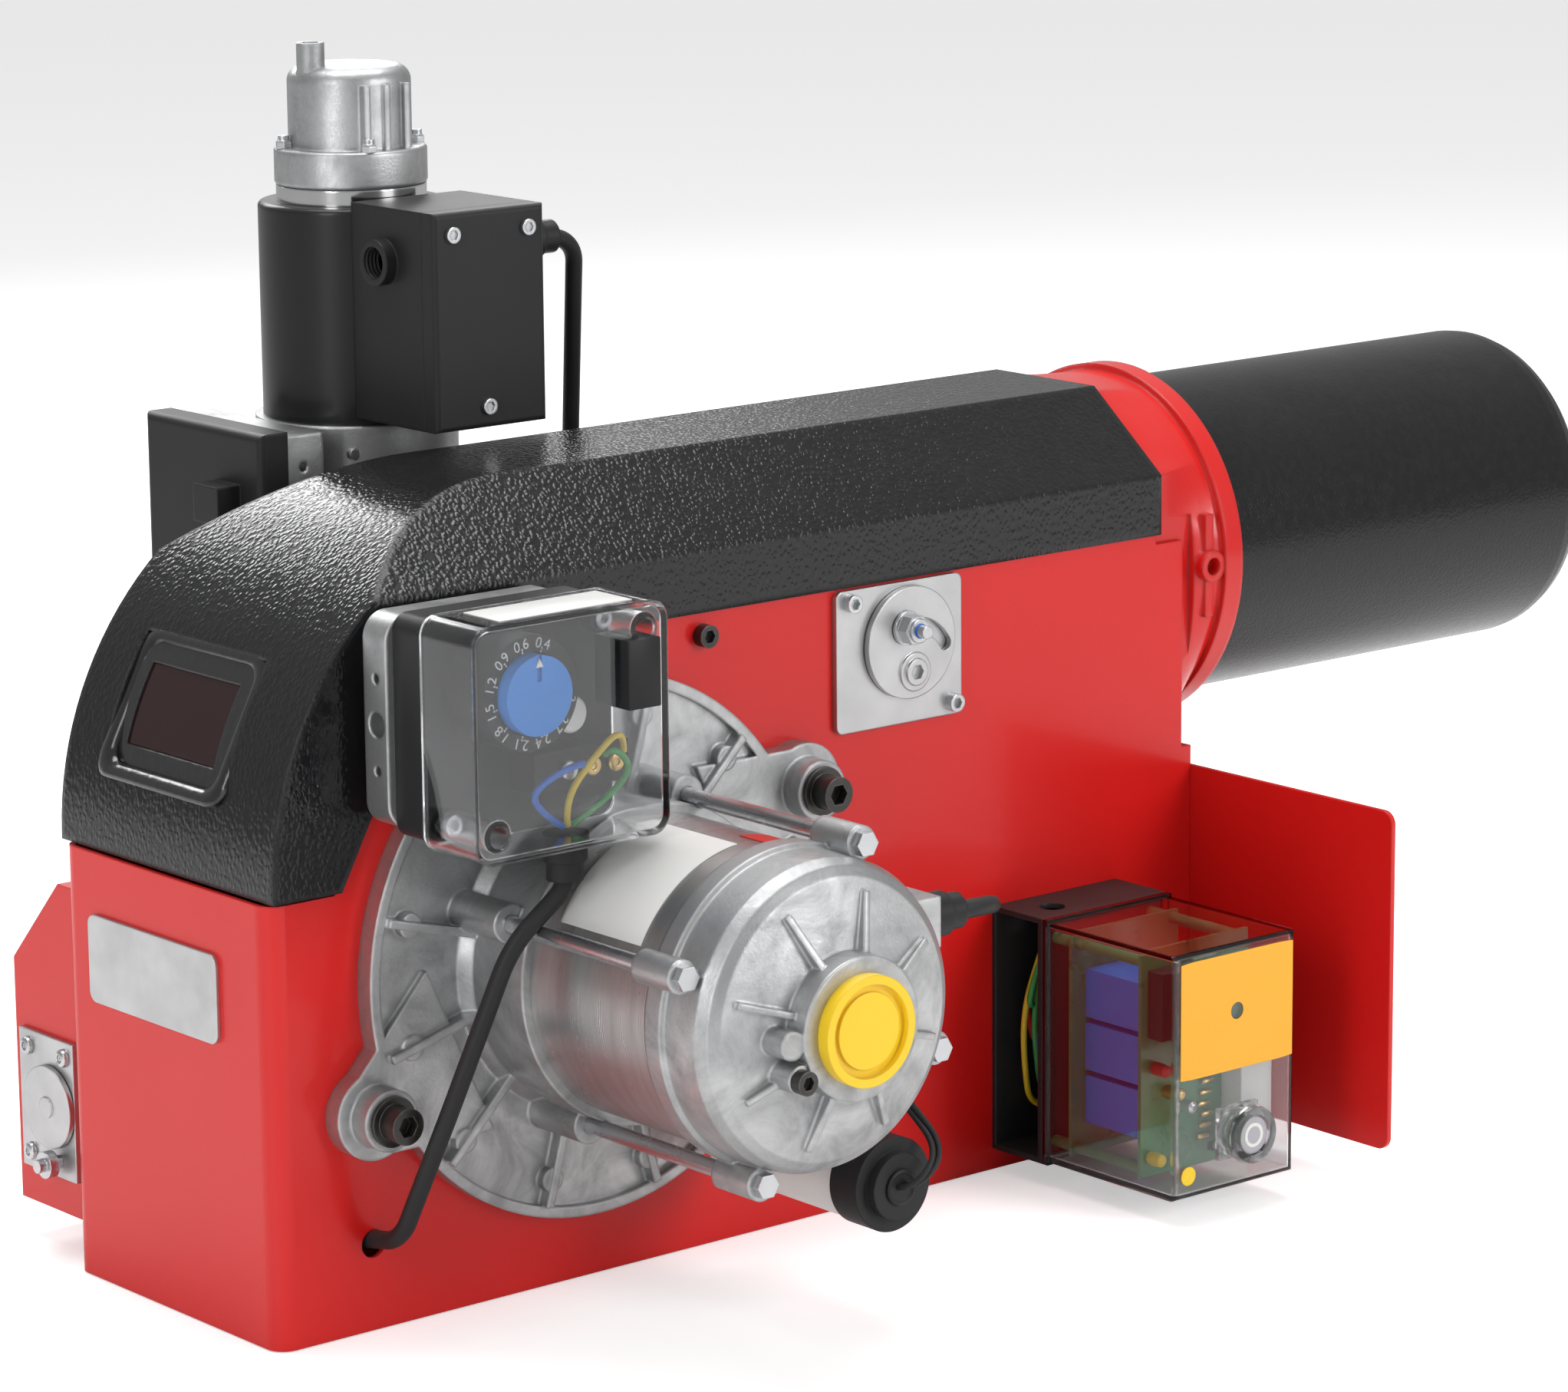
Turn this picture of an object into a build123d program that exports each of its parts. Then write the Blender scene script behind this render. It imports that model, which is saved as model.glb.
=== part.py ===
"""Industrial gas burner with side motor, gas valve, control box and blast tube.

Frame: millimetres, +Z up, base of the casing at Z = 0, flame direction +X,
motor side -Y, gas valve side +Y. The sizes below are measured from the rear
face of the casing; every piece is moved on export so that the origin is the
centre of the casing's bottom.
"""
from build123d import *
import math
import os

os.makedirs("parts", exist_ok=True)

# ---------------------------------------------------------------- casing
CASE_L = 432.0          # length of the sheet casing
CASE_HALF = 64.0        # half width of the casing
CASE_T = 2.0            # sheet thickness
CASE_BEND = 7.3         # outside radius of the rear vertical bends
REAR_H = 158.0          # height of the rear face
SIDE_H = 235.0          # visible height of the side panels
LAP = 5.0               # how far the panels reach up inside the cover

# ---------------------------------------------------------------- cover
COVER_T = 1.6           # cover shell thickness
COVER_GAP = 0.2         # side gap between cover and casing
COVER_HALF = CASE_HALF + COVER_GAP + COVER_T
COVER_TOP = 288.0       # height of the flat top
COVER_SHOULDER_Z = 258.0
COVER_SHOULDER_Y = 28.0
COVER_REAR_X = 1.5     # rearmost face of the cover
COVER_FRONT_X = 414.0
COVER_ARC = 127.0       # radius of the rear curve
WIN_Y0, WIN_Y1 = -31.0, 42.0
WIN_Z0, WIN_Z1 = 189.5, 235.0
PANE_Y0, PANE_Y1 = -21.0, 33.0
PANE_Z0, PANE_Z1 = 198.0, 225.5

# ---------------------------------------------------------------- blast tube and neck
TUBE_Z = 219.5          # height of the burner axis
TUBE_R = 63.0           # outside radius of the blast tube
TUBE_T = 2.5
TUBE_FIT = 0.08         # radial clearance in the neck
TUBE_STEP = 0.6         # the seated end is turned down by this much
TUBE_X0 = 433.0
TUBE_END = 662.0
TUBE_ROUND = 17.0
FLANGE_X0, FLANGE_X1 = 444.0, 453.0
FLANGE_R = 70.5
BOSS_X, BOSS_Z, BOSS_R = 438.4, 220.0, 6.0
M8_TAP_R = 3.4

# ---------------------------------------------------------------- guard plate
GUARD_T = 2.0
GUARD_OUT = 172.0       # how far the plate reaches toward the motor side
GUARD_Z0, GUARD_Z1 = 11.0, 142.0

# ---------------------------------------------------------------- motor and fan
MOT_X, MOT_Z = 134.5, 123.0
MOT_FLANGE_R = 98.0
MOT_PAD_Y = -CASE_HALF
MOT_FLANGE_T = 8.0
CONE_Y = -104.0         # end of the cast cone, start of the stator
STATOR_R = 54.0
STATOR_Y = -170.0
BELL_Y = -203.0
BELL_FACE_R = 52.0
BELL_RIBS = 8
BELL_RIB_T = 2.4
HUB_R = 25.0
HUB_Y = -216.0
PLUG_R = 19.3
PLUG_Y = -221.0
HUB_BORE_R = 16.0
SHAFT_R = 7.0
SHAFT_FIT = 0.05
BEARING_R = 16.0
LUG_RADIUS, LUG_ANGLE = 106.0, 24.0
LUG_R = 16.0
LUG_Y = -81.0
TIE_RADIUS, TIE_ANGLE = 60.0, 68.0
BOSS_ROOT_R = 56.0       # cast boss between flange and stator
PAD_RADIUS = 84.0
SWITCH_SIDE_RIBS = (7, 8)  # ribs left out under the pressure switch
TIE_R = 3.0
MOTOR_HOLE_R = 84.0
FAN_R = 78.0
FAN_HUB_R = 16.0
FAN_VANES = 30
FAN_Y0, FAN_Y1 = -48.0, 40.0

# ---------------------------------------------------------------- capacitor
CAP_X, CAP_Z, CAP_R = 184.0, 49.0, 16.0
CAP_Y0, CAP_Y1 = -92.0, -160.0
BOOT_Y = -178.0

# ---------------------------------------------------------------- head adjuster
ADJ_X0, ADJ_X1 = 251.0, 311.5
ADJ_Z0, ADJ_Z1 = SIDE_H - 54.0, SIDE_H - 1.0
ADJ_T = 2.5
ADJ_DISC_X, ADJ_DISC_Z, ADJ_DISC_R = 285.0, SIDE_H - 23.5, 21.0
ADJ_PIN_X, ADJ_PIN_Z = 286.0, SIDE_H - 34.5
ADJ_DISC_T = 2.5
ADJ_SLOT_RADIUS = 17.5
ADJ_STUD_R = 2.4
ADJ_STUD_ANGLE = 104.0
ADJ_SLOT_END = 30.0
PIN_R = 5.0

# ---------------------------------------------------------------- combustion head
LANCE_R = 9.0
LANCE_X0, LANCE_X1 = 400.0, 628.0
DIFF_X, DIFF_R, DIFF_T = 626.0, 50.0, 2.0
HEAD_TRAVEL = 12.0

# ---------------------------------------------------------------- control box
CTRL_X0, CTRL_W = CASE_L - 103.0, 63.5
CTRL_Z0, CTRL_H = 8.4, 95.0
CTRL_BASE_Y = -92.0
CTRL_FRONT_Y = -163.0
CTRL_T = 2.0
ENTRY_R = 5.0
RESET_X, RESET_Z, RESET_R = CTRL_X0 + 40.4, 28.0, 7.5

# ---------------------------------------------------------------- air pressure switch
SW_X0, SW_X1 = 37.0, 119.0
SW_Z0, SW_Z1 = 178.5, 260.0
SW_BASE_X0 = 36.0
SW_BASE_Z0, SW_BASE_Z1 = 183.0, 257.0
SW_NIPPLE_X, SW_NIPPLE_Z = 58.0, 234.0
SW_Y0 = -73.0
SW_Y1 = -86.0           # base to body
SW_Y2 = -104.0          # body to cover
SW_Y3 = -134.0          # front of the clear cover
DIAL_X, DIAL_Z, DIAL_R = 69.0, 232.0, 20.0
KNOB_R = 13.8
DIAL_AXLE_R = 6.0
DIAL_FIT = 0.06

# ---------------------------------------------------------------- gas valve
VALVE_X, VALVE_Y = 167.0, 112.0
COIL_R = 35.0
COIL_Z0, COIL_Z1 = 290.0, 369.0
COLLAR_R, COLLAR_Z0 = 38.0, 268.0
BODY_Z0 = 196.0
BODY_HALF_X, BODY_HALF_Y = 38.0, 38.0
RING_R = 28.0
CAP_FLANGE_Z0, CAP_FLANGE_Z1 = 375.0, 389.0
DOME_R, DOME_Z = 23.0, 419.0
STUB_X, STUB_R, STUB_Z = 150.0, 5.2, 428.0
TERM_X0, TERM_X1 = 146.0, 196.0
TERM_Y0, TERM_Y1 = 32.0, 83.0
TERM_Z0, TERM_Z1 = 292.0, 372.0
ENTRY_Y, ENTRY_Z = 63.0, 352.0
VGLAND_Y, VGLAND_Z = 48.0, 357.0
PIPE_R = 17.0
PIPE_Z = 214.0
PIPE_X1 = 385.0
GAS_INLET_R = 15.1      # tapping radius of the gas inlet

# ---------------------------------------------------------------- air inlet box
INLET_X0, INLET_X1 = 9.0, 205.0
INLET_Y1 = 113.5
INLET_Z0, INLET_Z1 = 14.0, 138.0
INLET_CUT_Y, INLET_CUT_Z = 82.0, 105.0
DAMPER_Y, DAMPER_Z = 88.0, 54.0
DAMPER_R = 4.0
DAMPER_FIT = 0.08

# ---------------------------------------------------------------- leads
GLAND_X = MOT_X + 58.0
GLAND_Y = -181.0
GLAND_Z = MOT_Z + 22.0
VALVE_LEAD_X = 242.0
LEAD_R = 3.2
HOLE_X, HOLE_Z = 40.7, 31.3


# ================================================================ helpers
def block(x0, x1, y0, y1, z0, z1):
    """Box given by its six limits."""
    centre = ((x0 + x1) / 2, (y0 + y1) / 2, (z0 + z1) / 2)
    return Pos(*centre) * Box(abs(x1 - x0), abs(y1 - y0), abs(z1 - z0))


def rod_x(radius, x0, x1, y, z):
    """Cylinder along X."""
    return Pos((x0 + x1) / 2, y, z) * Rot(0, 90, 0) * Cylinder(radius, abs(x1 - x0))


def rod_y(radius, y0, y1, x, z):
    """Cylinder along Y."""
    return Pos(x, (y0 + y1) / 2, z) * Rot(90, 0, 0) * Cylinder(radius, abs(y1 - y0))


def rod_z(radius, z0, z1, x, y):
    """Cylinder along Z."""
    return Pos(x, y, (z0 + z1) / 2) * Cylinder(radius, abs(z1 - z0))


def hex_y(across, y0, y1, x, z):
    """Hexagonal prism along Y, size across flats."""
    prism = extrude(RegularPolygon(across / 2, 6, major_radius=False), abs(y1 - y0))
    return Pos(x, max(y0, y1), z) * Rot(90, 0, 0) * prism


def spun_y(points, x, z):
    """Solid of revolution about an axis along Y; points are (radius, y)."""
    outline = make_face(Polyline(*[(r, y) for r, y in points], close=True))
    return Pos(x, 0, z) * Rot(0, 0, 0) * revolve(outline, Axis.Y)


def spun_x(points, z):
    """Solid of revolution about the burner axis; points are (x, radius)."""
    outline = make_face(Polyline(*[(x, r) for x, r in points], close=True))
    return Pos(0, 0, z) * revolve(outline, Axis.X)


def polar(radius, degrees, x, z):
    """Point on a circle in the XZ plane."""
    angle = math.radians(degrees)
    return x + radius * math.cos(angle), z + radius * math.sin(angle)


def cap_screw(x, z, face, head_r, head_h, shank_r=0.0, shank=0.0):
    """Socket head screw whose head stands toward -Y from a face."""
    head = rod_y(head_r, face, face - head_h, x, z)
    head -= hex_y(head_r * 1.05, face - head_h * 0.45, face - head_h - 1, x, z)
    if shank > 0:
        head += rod_y(shank_r, face + shank, face - 0.5, x, z)
    return head


def tube_along(points, bends, radius):
    """Round lead along straight runs joined by tangent arcs."""
    route = FilletPolyline(*points, radius=bends)
    start = Plane(origin=route @ 0, z_dir=route % 0)
    return sweep(start * Circle(radius), path=route)


def lug_points():
    """Centres of the two motor lugs."""
    return [polar(LUG_RADIUS, LUG_ANGLE + turn, MOT_X, MOT_Z) for turn in (0, 180)]


def tie_points():
    """Centres of the four motor tie bolts."""
    return [polar(TIE_RADIUS, TIE_ANGLE + 90 * k, MOT_X, MOT_Z) for k in range(4)]


# ================================================================ casing
def side_outline(inset, bottom):
    """Side view of the cover, seen along Y, as a face in the XZ plane."""
    rear = COVER_REAR_X + inset
    top = COVER_TOP - inset
    radius = COVER_ARC - inset
    hub_x = rear + radius
    hub_z = top - radius
    start = (rear, REAR_H + 1)
    mid = (hub_x - radius * math.cos(math.pi / 4), hub_z + radius * math.sin(math.pi / 4))
    lines = [
        Line(start, (rear, hub_z)),
        ThreePointArc((rear, hub_z), mid, (hub_x, top)),
        Line((hub_x, top), (COVER_FRONT_X, top)),
        Polyline((COVER_FRONT_X, top), (COVER_FRONT_X, bottom), (96, bottom), (50, 196), (30, REAR_H + 1), start),
    ]
    return make_face(Curve() + lines)


def cover_block(inset, reach=0.0):
    """Solid block of the cover: side view cut by the chamfered end view."""
    half = COVER_HALF - inset
    top = COVER_TOP - inset + 1
    slope = (COVER_HALF - COVER_SHOULDER_Y) / (COVER_TOP - COVER_SHOULDER_Z)
    shoulder_y = COVER_SHOULDER_Y - inset * 0.42
    shoulder_z = COVER_TOP - inset - (half - shoulder_y) / slope
    side = extrude(Plane.XZ * side_outline(inset, SIDE_H - reach), half, both=True)
    end = make_face(
        Polyline(
            (-half, 100), (half, 100), (half, shoulder_z), (shoulder_y, COVER_TOP - inset),
            (shoulder_y, top), (-shoulder_y, top), (-shoulder_y, COVER_TOP - inset), (-half, shoulder_z),
            close=True,
        )
    )
    return side & (Pos(-20, 0, 0) * extrude(Plane.YZ * end, 600))


def lower_casing():
    """Folded sheet casing, open at the top under the cover."""
    shell = block(0, CASE_L, -CASE_HALF, CASE_HALF, 0, SIDE_H + LAP)
    rear_edges = shell.edges().filter_by(Axis.Z).sort_by(Axis.X)[:2]
    shell = fillet(rear_edges, CASE_BEND)
    inner = block(CASE_T, CASE_L - CASE_T, -CASE_HALF + CASE_T, CASE_HALF - CASE_T, CASE_T, 400)
    inner_edges = inner.edges().filter_by(Axis.Z).sort_by(Axis.X)[:2]
    shell -= fillet(inner_edges, CASE_BEND - CASE_T)
    cut = make_face(
        Polyline((-5, REAR_H), (28, REAR_H), (50, 196), (96, SIDE_H), (96, 300), (-5, 300), close=True)
    )
    shell -= extrude(Plane.XZ * cut, 100, both=True)
    shell -= block(CASE_L - 5, CASE_L + 5, -CASE_HALF, CASE_HALF, 150, 400)
    shell -= block(COVER_FRONT_X - 1, CASE_L + 5, -100, 100, SIDE_H - 4, 400)
    shell -= rod_y(MOTOR_HOLE_R, -CASE_HALF - 5, -CASE_HALF + 5, MOT_X, MOT_Z)
    shell -= rod_y(60, CASE_HALF - 5, CASE_HALF + 5, MOT_X - 20, INLET_Z0 + 62)
    shell -= rod_y(LEAD_R + 1.8, -CASE_HALF - 5, -CASE_HALF + 5, HOLE_X, HOLE_Z)
    shell -= rod_y(LEAD_R + 1.8, -CASE_HALF - 5, -CASE_HALF + 5, GLAND_X + 50, 122)
    shell -= rod_y(PIPE_R - 2, CASE_HALF - 5, CASE_HALF + 5, PIPE_X1 - 2, PIPE_Z)
    shell -= rod_y(LEAD_R + 1.8, CASE_HALF - 5, CASE_HALF + 5, VALVE_LEAD_X, 182)
    shell -= rod_y(PIN_R + 2.5, -CASE_HALF - 5, -CASE_HALF + 5, ADJ_PIN_X, ADJ_PIN_Z)
    shell -= block(CTRL_X0 + 12, CTRL_X0 + 30, -CASE_HALF - 5, -CASE_HALF + 5, 40, 70)
    return shell


def guard_plate():
    """Flat plate across the front wall that shields the control box."""
    plate = block(CASE_L, CASE_L + GUARD_T, -GUARD_OUT, CASE_HALF - 4, GUARD_Z0, GUARD_Z1)
    edges = plate.edges().filter_by(Axis.X)
    outer = [e for e in edges if e.center().Y < -100]
    plate = fillet(outer, 5)
    return plate


def top_cover():
    """Painted cover with chamfered shoulders and a curved rear."""
    shell = cover_block(0) - cover_block(COVER_T, 40)
    shell -= block(-20, 70, WIN_Y0, WIN_Y1, WIN_Z0, WIN_Z1)
    shell -= block(COVER_FRONT_X - COVER_T - 6, COVER_FRONT_X + 5, -54, 54, 200, 250)
    return shell


def rear_band(y0, y1, z0, z1, depth0, depth1):
    """Curved piece lying just under the rear curve of the cover."""
    hub_x = COVER_REAR_X + COVER_ARC
    hub_z = COVER_TOP - COVER_ARC
    band = rod_y(COVER_ARC - depth0, y0, y1, hub_x, hub_z)
    band -= rod_y(COVER_ARC - depth1, y0 - 1, y1 + 1, hub_x, hub_z)
    return band & block(-20, 80, y0, y1, z0, z1)


def window_frame():
    """Recessed frame around the sight pane."""
    frame = rear_band(WIN_Y0 - 4, WIN_Y1 + 4, WIN_Z0 - 4, WIN_Z1 + 4, COVER_T + 0.02, COVER_T + 3.0)
    return frame - block(-30, 90, PANE_Y0, PANE_Y1, PANE_Z0, PANE_Z1)


def sight_pane():
    """Dark see-through pane, bonded into its frame."""
    return rear_band(PANE_Y0, PANE_Y1, PANE_Z0, PANE_Z1, COVER_T + 0.8, COVER_T + 2.4)


# ================================================================ neck and tube
def neck_section(x, inset):
    """Chamfered section of the neck as a face across the burner axis."""
    half = CASE_HALF - CASE_T - 0.3 - inset
    return Pos(x, 0, 0) * (
        Plane.YZ
        * make_face(
            Polyline(
                (-half, 152), (half, 152), (half, 257), (27, 285.6), (-27, 285.6), (-half, 257), close=True
            )
        )
    )


def front_neck():
    """Cast neck from the chamfered casing section to the round flange."""
    rear = neck_section(COVER_FRONT_X - 12, 0)
    front = neck_section(COVER_FRONT_X + 3, 0)
    body = extrude(rear, 15, dir=(1, 0, 0))
    circle = Pos(FLANGE_X0 + 1, 0, TUBE_Z) * (Plane.YZ * Circle(FLANGE_R - 2.5))
    body += loft([front, circle])
    body += rod_x(FLANGE_R, FLANGE_X0, FLANGE_X1, 0, TUBE_Z)
    body = body - rod_x(FLANGE_R - 6, FLANGE_X1 - 1.5, FLANGE_X1 + 1, 0, TUBE_Z)
    for side in (-1, 1):
        body -= block(COVER_FRONT_X - 20, CASE_L + 0.2, side * (CASE_HALF - CASE_T - 0.2), side * 90, 100, SIDE_H + LAP + 0.2)
    body += rod_y(BOSS_R, -CASE_HALF - 5.5, -CASE_HALF + 6, BOSS_X, BOSS_Z)
    body += block(BOSS_X - 2, BOSS_X + 2, -CASE_HALF - 3, -CASE_HALF + 6, BOSS_Z - 20, BOSS_Z + 20)
    body -= rod_x(TUBE_R - TUBE_STEP + TUBE_FIT, TUBE_X0, FLANGE_X1 + 5, 0, TUBE_Z)
    body -= rod_x(TUBE_R - 6, COVER_FRONT_X - 20, FLANGE_X1, 0, TUBE_Z)
    body -= rod_y(M8_TAP_R, -CASE_HALF - 10, -CASE_HALF + 0.2, BOSS_X, BOSS_Z)
    return body


def blast_tube():
    """Flame tube with its mouth turned inward."""
    inner = TUBE_R - TUBE_T
    lip = TUBE_R - TUBE_ROUND
    steps = [15 * k for k in range(7)]
    outer_arc = [
        (
            TUBE_END - TUBE_ROUND + TUBE_ROUND * math.sin(math.radians(a)),
            TUBE_R - TUBE_ROUND + TUBE_ROUND * math.cos(math.radians(a)),
        )
        for a in steps
    ]
    small = TUBE_ROUND - TUBE_T
    inner_arc = [
        (
            TUBE_END - TUBE_ROUND + small * math.sin(math.radians(a)),
            lip + small * math.cos(math.radians(a)),
        )
        for a in reversed(steps)
    ]
    root = [(TUBE_X0, inner), (TUBE_X0, TUBE_R - TUBE_STEP), (FLANGE_X1 + 1, TUBE_R - TUBE_STEP), (FLANGE_X1 + 1, TUBE_R)]
    return spun_x(root + outer_arc + inner_arc, TUBE_Z)


def gas_elbow():
    """Fixed pipe inside the casing that feeds the sliding lance."""
    bore = LANCE_R + 0.06
    elbow = rod_x(LANCE_R + 4, PIPE_X1 - 16, LANCE_X0 + 16, 0, TUBE_Z)
    elbow += rod_y(LANCE_R + 4, 0, CASE_HALF - CASE_T, PIPE_X1 - 2, PIPE_Z)
    elbow -= rod_x(bore, LANCE_X0 - 14, LANCE_X0 + 20, 0, TUBE_Z)
    elbow -= rod_y(LANCE_R, -2, CASE_HALF, PIPE_X1 - 2, PIPE_Z)
    return elbow


def head_spider():
    """Three armed guide that carries the lance inside the tube."""
    ring = rod_x(TUBE_R - TUBE_T - 0.05, 470, 478, 0, TUBE_Z) - rod_x(TUBE_R - TUBE_T - 4, 469, 479, 0, TUBE_Z)
    hub = rod_x(LANCE_R + 4, 470, 478, 0, TUBE_Z)
    spider = ring + hub
    for turn in (90, 210, 330):
        arm = block(471, 477, -2, 2, 10, TUBE_R - TUBE_T - 2)
        spider += Pos(0, 0, TUBE_Z) * Rot(turn, 0, 0) * arm
    return spider - rod_x(LANCE_R + 0.06, 465, 485, 0, TUBE_Z)


def gas_lance():
    """Gas pipe that slides in the elbow and the spider."""
    lance = rod_x(LANCE_R, LANCE_X0, LANCE_X1, 0, TUBE_Z)
    lance -= rod_x(LANCE_R - 2, LANCE_X0 - 1, LANCE_X1 - 4, 0, TUBE_Z)
    lance += rod_x(LANCE_R + 5, LANCE_X1, LANCE_X1 + 8, 0, TUBE_Z)
    for k in range(8):
        x_dir = Pos(LANCE_X1 + 4, 0, TUBE_Z) * Rot(45 * k, 0, 0) * Pos(0, 0, 8) * Cylinder(1.5, 14)
        lance -= x_dir
    return lance


def diffuser_disc():
    """Slotted disc that steadies the flame."""
    disc = rod_x(DIFF_R, DIFF_X - DIFF_T, DIFF_X, 0, TUBE_Z)
    disc -= rod_x(LANCE_R + 0.02, DIFF_X - 10, DIFF_X + 5, 0, TUBE_Z)
    for k in range(12):
        slot = block(DIFF_X - 10, DIFF_X + 5, -1.6, 1.6, 22, 44)
        disc -= Pos(0, 0, TUBE_Z) * Rot(30 * k, 0, 0) * slot
    for y, z in ((20, -6), (20, 6), (-20, 0)):
        disc -= rod_x(3.02, DIFF_X - 10, DIFF_X + 5, y, TUBE_Z + z)
    return disc


def electrodes():
    """Two ignition electrodes and one flame probe with ceramic sleeves."""
    made = []
    for y, z in ((20, -6), (20, 6), (-20, 0)):
        one = rod_x(3.0, 560, DIFF_X + 6, y, TUBE_Z + z)
        one += rod_x(1.0, DIFF_X + 6, DIFF_X + 20, y, TUBE_Z + z)
        made.append(one)
    return Compound(children=made)


# ================================================================ motor
def lug_arm(x, z):
    """Tapered arm from the flange out to one lug, as a face in the XZ plane."""
    dx, dz = (x - MOT_X) / LUG_RADIUS, (z - MOT_Z) / LUG_RADIUS
    root = 66.0
    wide = 34.0
    corners = []
    for along, across in ((root, wide), (LUG_RADIUS, LUG_R), (LUG_RADIUS, -LUG_R), (root, -wide)):
        corners.append((MOT_X + dx * along - dz * across, MOT_Z + dz * along + dx * across))
    return make_face(Polyline(*corners, close=True))


def motor_flange():
    """Cast flange with boss, ribs, round pads and two fixing lugs."""
    face = MOT_PAD_Y - MOT_FLANGE_T
    cast = rod_y(MOT_FLANGE_R, MOT_PAD_Y, face, MOT_X, MOT_Z)
    cast -= rod_y(MOT_FLANGE_R - 4, face + 3, face - 1, MOT_X, MOT_Z)
    for x, z in lug_points():
        cast += Pos(0, MOT_PAD_Y, 0) * extrude(Plane.XZ * lug_arm(x, z), MOT_FLANGE_T)
        cast += rod_y(LUG_R, MOT_PAD_Y, face, x, z)
        cast += rod_y(11.0, face + 1, LUG_Y, x, z)
    cast += spun_y(
        [(0, face + 4), (BOSS_ROOT_R + 4, face + 4), (BOSS_ROOT_R, face - 2), (BOSS_ROOT_R + 1.5, CONE_Y + 5),
         (BOSS_ROOT_R + 1.5, CONE_Y), (0, CONE_Y)],
        MOT_X, MOT_Z,
    )
    for k in range(12):
        rib = block(BOSS_ROOT_R - 1, PAD_RADIUS + 10, face + 4, face - 2.5, -1.5, 1.5)
        rib += rod_y(4.5, face + 4, face - 1.0, PAD_RADIUS, 0)
        if k not in SWITCH_SIDE_RIBS:
            cast += Pos(MOT_X, 0, MOT_Z) * Rot(0, 30 * k + 15, 0) * rib
    for x, z in tie_points():
        cast += rod_y(7.0, face + 4, CONE_Y + 8, x, z)
    cast -= rod_y(BOSS_ROOT_R - 8, MOT_PAD_Y - 6, CONE_Y - 1, MOT_X, MOT_Z)
    cast -= rod_y(BEARING_R, MOT_PAD_Y + 1, CONE_Y, MOT_X, MOT_Z)
    for x, z in lug_points():
        cast -= rod_y(4.1, MOT_PAD_Y + 1, LUG_Y - 1, x, z)
    for x, z in tie_points():
        cast -= rod_y(TIE_R, MOT_PAD_Y - 4, CONE_Y - 1, x, z)
    return cast


def lug_screws():
    """Two socket head screws with washers on the motor lugs."""
    made = []
    for x, z in lug_points():
        washer = rod_y(9.0, LUG_Y, LUG_Y - 1.6, x, z)
        screw = cap_screw(x, z, LUG_Y - 1.6, 6.5, 8, 3.9, -LUG_Y + MOT_PAD_Y + 1.0)
        made.append(washer + screw)
    return Compound(children=made)


def stator():
    """Laminated stator pack."""
    pack = rod_y(STATOR_R, CONE_Y, STATOR_Y, MOT_X, MOT_Z)
    return pack - rod_y(36, CONE_Y + 1, STATOR_Y - 1, MOT_X, MOT_Z)


def end_bell():
    """Cast end bell with radial ribs, tie bolt ears and a clamp hub."""
    bell = spun_y(
        [
            (0, STATOR_Y), (STATOR_R + 2.5, STATOR_Y), (STATOR_R + 2.5, STATOR_Y - 8),
            (STATOR_R + 1, STATOR_Y - 9), (STATOR_R + 0.5, BELL_Y + 9), (BELL_FACE_R + 0.5, BELL_Y + 4.5),
            (BELL_FACE_R - 3, BELL_Y + 2), (HUB_R + 5, BELL_Y - 2), (HUB_R, BELL_Y - 3),
            (HUB_R, HUB_Y), (0, HUB_Y),
        ],
        MOT_X, MOT_Z,
    )
    rib_end = BELL_FACE_R - 7
    outline = [(HUB_R - 2, BELL_Y + 5), (HUB_R - 2, BELL_Y - 8), (rib_end, BELL_Y - 1), (rib_end, BELL_Y + 5)]
    rib = extrude(Polygon(*outline, align=None), BELL_RIB_T / 2, both=True)
    for k in range(BELL_RIBS):
        bell += Pos(MOT_X, 0, MOT_Z) * Rot(0, 360 / BELL_RIBS * k + 17, 0) * rib
    for x, z in tie_points():
        bell += rod_y(6, STATOR_Y, BELL_Y + 13, x, z)
    for turn in (150, 175):
        x, z = polar(HUB_R + 4, turn + 32, MOT_X, MOT_Z)
        bell += rod_y(5, BELL_Y + 6, HUB_Y + 1, x, z)
    bell += block(MOT_X + 40, GLAND_X, GLAND_Y - 9, STATOR_Y, GLAND_Z - 9, GLAND_Z + 9)
    bell -= block(GLAND_X, GLAND_X + 5, GLAND_Y - 12, STATOR_Y + 1, GLAND_Z - 12, GLAND_Z + 12)
    bell -= rod_y(47, STATOR_Y + 1, STATOR_Y - 18, MOT_X, MOT_Z)
    bell -= rod_y(HUB_BORE_R, BELL_Y - 1, HUB_Y - 1, MOT_X, MOT_Z)
    bell -= rod_y(BEARING_R - 4, STATOR_Y - 17, -196.0, MOT_X, MOT_Z)
    for x, z in tie_points():
        bell -= rod_y(TIE_R, STATOR_Y + 1, BELL_Y + 13, x, z)
        bell -= rod_y(5.2, BELL_Y + 13, BELL_Y - 1, x, z)
    return bell


def tie_bolts():
    """Four long bolts through the stator."""
    made = []
    for x, z in tie_points():
        bolt = rod_y(TIE_R, MOT_PAD_Y - 4, BELL_Y + 13, x, z)
        bolt += hex_y(8.0, BELL_Y + 13, BELL_Y + 9.5, x, z)
        made.append(bolt)
    return Compound(children=made)


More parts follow.
